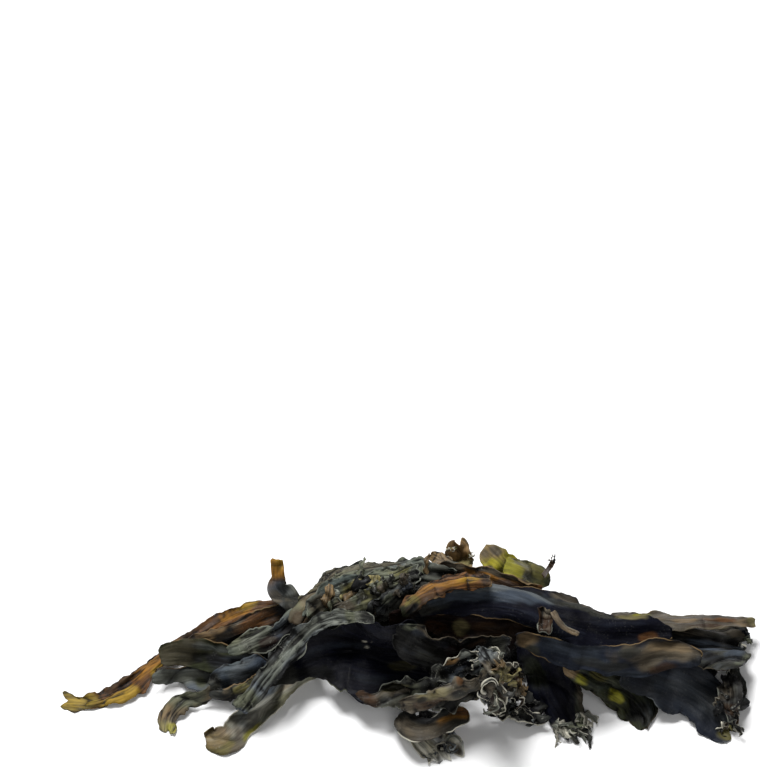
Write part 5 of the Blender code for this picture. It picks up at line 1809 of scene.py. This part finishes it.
def masked_mesh(name: str, points: Grid, quads: Grid, masks: dict[str, Grid]) -> bpy.types.Mesh:
    """Makes a smooth single-walled mesh that carries the masks its material reads.

    Args:
        name: The mesh's name.
        points: Its points, in metres.
        quads: Its four-sided faces.
        masks: Values for each point, by name.

    Returns:
        The mesh.
    """
    mesh = bpy.data.meshes.new(name)
    mesh.from_pydata(points.tolist(), [], quads.tolist())
    kinds = {"tint": ("FLOAT_COLOR", "color"), "crest": ("FLOAT", "value"), "rim": ("FLOAT", "value"),
             "place": ("FLOAT_VECTOR", "vector")}
    for mask, (kind, value) in kinds.items():
        layer = mesh.attributes.new(mask, kind, "POINT")
        layer.data.foreach_set(value, masks[mask].astype(np.float32).ravel())
    mesh.polygons.foreach_set("use_smooth", [True] * len(mesh.polygons))
    return mesh


def put(name: str, data: bpy.types.ID) -> bpy.types.Object:
    """Puts an object with its data in the scene."""
    made = bpy.data.objects.new(name, data)
    bpy.context.scene.collection.objects.link(made)
    return made


def put_piece(mesh: bpy.types.Mesh, wall: float) -> bpy.types.Object:
    """Puts a mesh in the scene as a piece of the bundle.

    Args:
        mesh: The piece's mesh, which names it.
        wall: How thick its wall is, in millimetres.

    Returns:
        The piece.
    """
    piece = put(mesh.name, mesh)
    solid = piece.modifiers.new("wall", "SOLIDIFY")
    solid.thickness = wall * MM
    solid.offset = 0.0
    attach(piece, "root")
    LOG.info("%s: %d faces", piece.name, len(mesh.polygons))
    return piece


@dataclass
class Bundle:
    """All the blades, laid from the table up, and their curls. Most_off is in metres."""

    blades: tuple[Blade, ...]
    tufts: tuple[Tuft, ...]
    dresser: Dresser = field(default_factory=Dresser)
    most_off: float = 0.05 * MM

    def build(self) -> Grid:
        """Lays every blade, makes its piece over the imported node, and adds the curls.

        Returns:
            The bundle's move on to the model's own origin, in millimetres.
        """
        pile = Pile()
        laid = [pile.lay(blade, seed) for seed, blade in enumerate(self.blades)]
        corners = np.concatenate([box.reshape(-1, 3) for box, _ in laid])
        low, high = corners.min(axis=0), corners.max(axis=0)
        shift = np.array([-(low[0] + high[0]) / 2, -(low[1] + high[1]) / 2, -low[2]])
        sheets = {}
        for seed, (blade, (box, points)) in enumerate(zip(self.blades, laid)):
            self.check(blade, box.reshape(-1, 3) + shift)
            sheets[blade.name] = self.add_piece(blade, seed, points, shift)
        CrispCurls(self.tufts, self.dresser).build(sheets, shift)
        LOG.info("moved by %s mm", shift)
        return shift

    def check(self, blade: Blade, corners: Grid) -> None:
        """Warns if the blade as laid here isn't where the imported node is."""
        low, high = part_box(blade.name)
        off = max(np.abs(corners.min(axis=0) * MM - low).max(), np.abs(corners.max(axis=0) * MM - high).max())
        if off > self.most_off:
            LOG.warning("%s lies %.2f mm off its node", blade.name, off / MM)

    def add_piece(self, blade: Blade, seed: int, points: Grid, shift: Grid) -> Sheet:
        """Makes the blade's fine piece and puts it in the node's place.

        Args:
            blade: The blade to make.
            seed: Its number in the bundle.
            points: Its fine points on the table's axes, in millimetres.
            shift: The bundle's move on to the model's own origin, in millimetres.

        Returns:
            The blade's finished sheet.
        """
        sheet = Sheet(blade, seed, points)
        sheet.crinkle()
        mesh = sheet.mesh(shift)
        mesh.materials.append(self.dresser.material(blade.skin))
        piece = put_piece(mesh, CUT.wall)
        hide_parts(blade.name)
        return sheet


@dataclass(frozen=True)
class Lamp:
    """A square soft light that faces the bundle, in metres and watts."""

    name: str
    place: tuple[float, float, float]
    size: float
    power: float

    def build(self) -> None:
        """Adds the light."""
        data = bpy.data.lights.new(self.name, "AREA")
        data.shape = "SQUARE"
        data.size = self.size
        data.energy = self.power
        light = put(self.name, data)
        light.location = self.place
        light.rotation_euler = (-Vector(self.place)).to_track_quat("-Z", "Y").to_euler()


@dataclass(frozen=True)
class Studio:
    """A pale floor, soft lights and the camera, in metres."""

    lamps: tuple[Lamp, ...] = (
        Lamp("key_light", (-0.2, 0.5, 1.25), 0.6, 30.0),
        Lamp("front_light", (0.35, -1.1, 1.1), 0.9, 6.0),
        Lamp("side_light", (-1.3, -0.3, 0.8), 0.7, 3.0),
    )
    floor_size: float = 6.0
    floor_tone: tuple[float, float, float] = (0.86, 0.86, 0.86)
    floor_roughness: float = 0.9
    floor_specular: float = 0.1
    sky: float = 0.12
    distance: float = 2.5
    sensor: float = 36.0
    clip: Pair = (0.05, 20.0)
    picture: tuple[int, int] = (760, 767)
    pixel: float = 0.30 * MM
    middle_across: float = -9.3 * MM
    middle_up: float = 114.75 * MM
    middle_towards: float = -12.0 * MM

    def build(self, shift: Grid) -> None:
        """Adds the floor, the lights and the camera.

        Args:
            shift: The bundle's own move, in millimetres.
        """
        self.add_floor()
        for lamp in self.lamps:
            lamp.build()
        self.add_sky()
        self.add_camera(shift)

    def add_floor(self) -> None:
        """A plain square floor at the height that the bundle lies on."""
        half = self.floor_size / 2
        corners = [(-half, -half, 0), (half, -half, 0), (half, half, 0), (-half, half, 0)]
        mesh = bpy.data.meshes.new("floor")
        mesh.from_pydata(corners, [], [(0, 1, 2, 3)])
        material = bpy.data.materials.new("pale_floor")
        material.use_nodes = True
        inputs = material.node_tree.nodes["Principled BSDF"].inputs
        inputs["Base Color"].default_value = (*self.floor_tone, 1.0)
        inputs["Roughness"].default_value = self.floor_roughness
        inputs["Specular IOR Level"].default_value = self.floor_specular
        mesh.materials.append(material)
        put("floor", mesh)

    def add_sky(self) -> None:
        """An even, dim grey all round."""
        world = bpy.data.worlds.new("studio")
        world.use_nodes = True
        background = world.node_tree.nodes["Background"]
        background.inputs["Color"].default_value = (1.0, 1.0, 1.0, 1.0)
        background.inputs["Strength"].default_value = self.sky
        bpy.context.scene.world = world

    def add_camera(self, shift: Grid) -> None:
        """A long lens at the photograph's angle and framing, moved as the bundle was.

        Args:
            shift: The bundle's own move, in millimetres.
        """
        angle = math.radians(LAYING.look_down)
        sine, cosine = math.sin(angle), math.cos(angle)
        target = Vector((
            self.middle_across,
            self.middle_up * sine - self.middle_towards * cosine,
            self.middle_up * cosine + self.middle_towards * sine,
        )) + Vector((shift[0], shift[1], 0.0)) * MM
        data = bpy.data.cameras.new("camera")
        data.sensor_width = self.sensor
        data.lens = self.sensor * self.distance / (max(self.picture) * self.pixel)
        data.clip_start, data.clip_end = self.clip
        camera = put("camera", data)
        camera.location = target + self.distance * Vector((0.0, -cosine, sine))
        camera.rotation_euler = (math.pi / 2 - angle, 0.0, 0.0)
        bpy.context.scene.camera = camera


def main() -> None:
    """Builds the bundle, the studio and the view, in that order."""
    logging.basicConfig(level=logging.INFO, format="%(message)s")
    shift = Bundle(BLADES, TUFTS).build()
    Studio().build(shift)
    bpy.context.scene.view_settings.view_transform = "Standard"


if __name__ == "__main__":
    main()
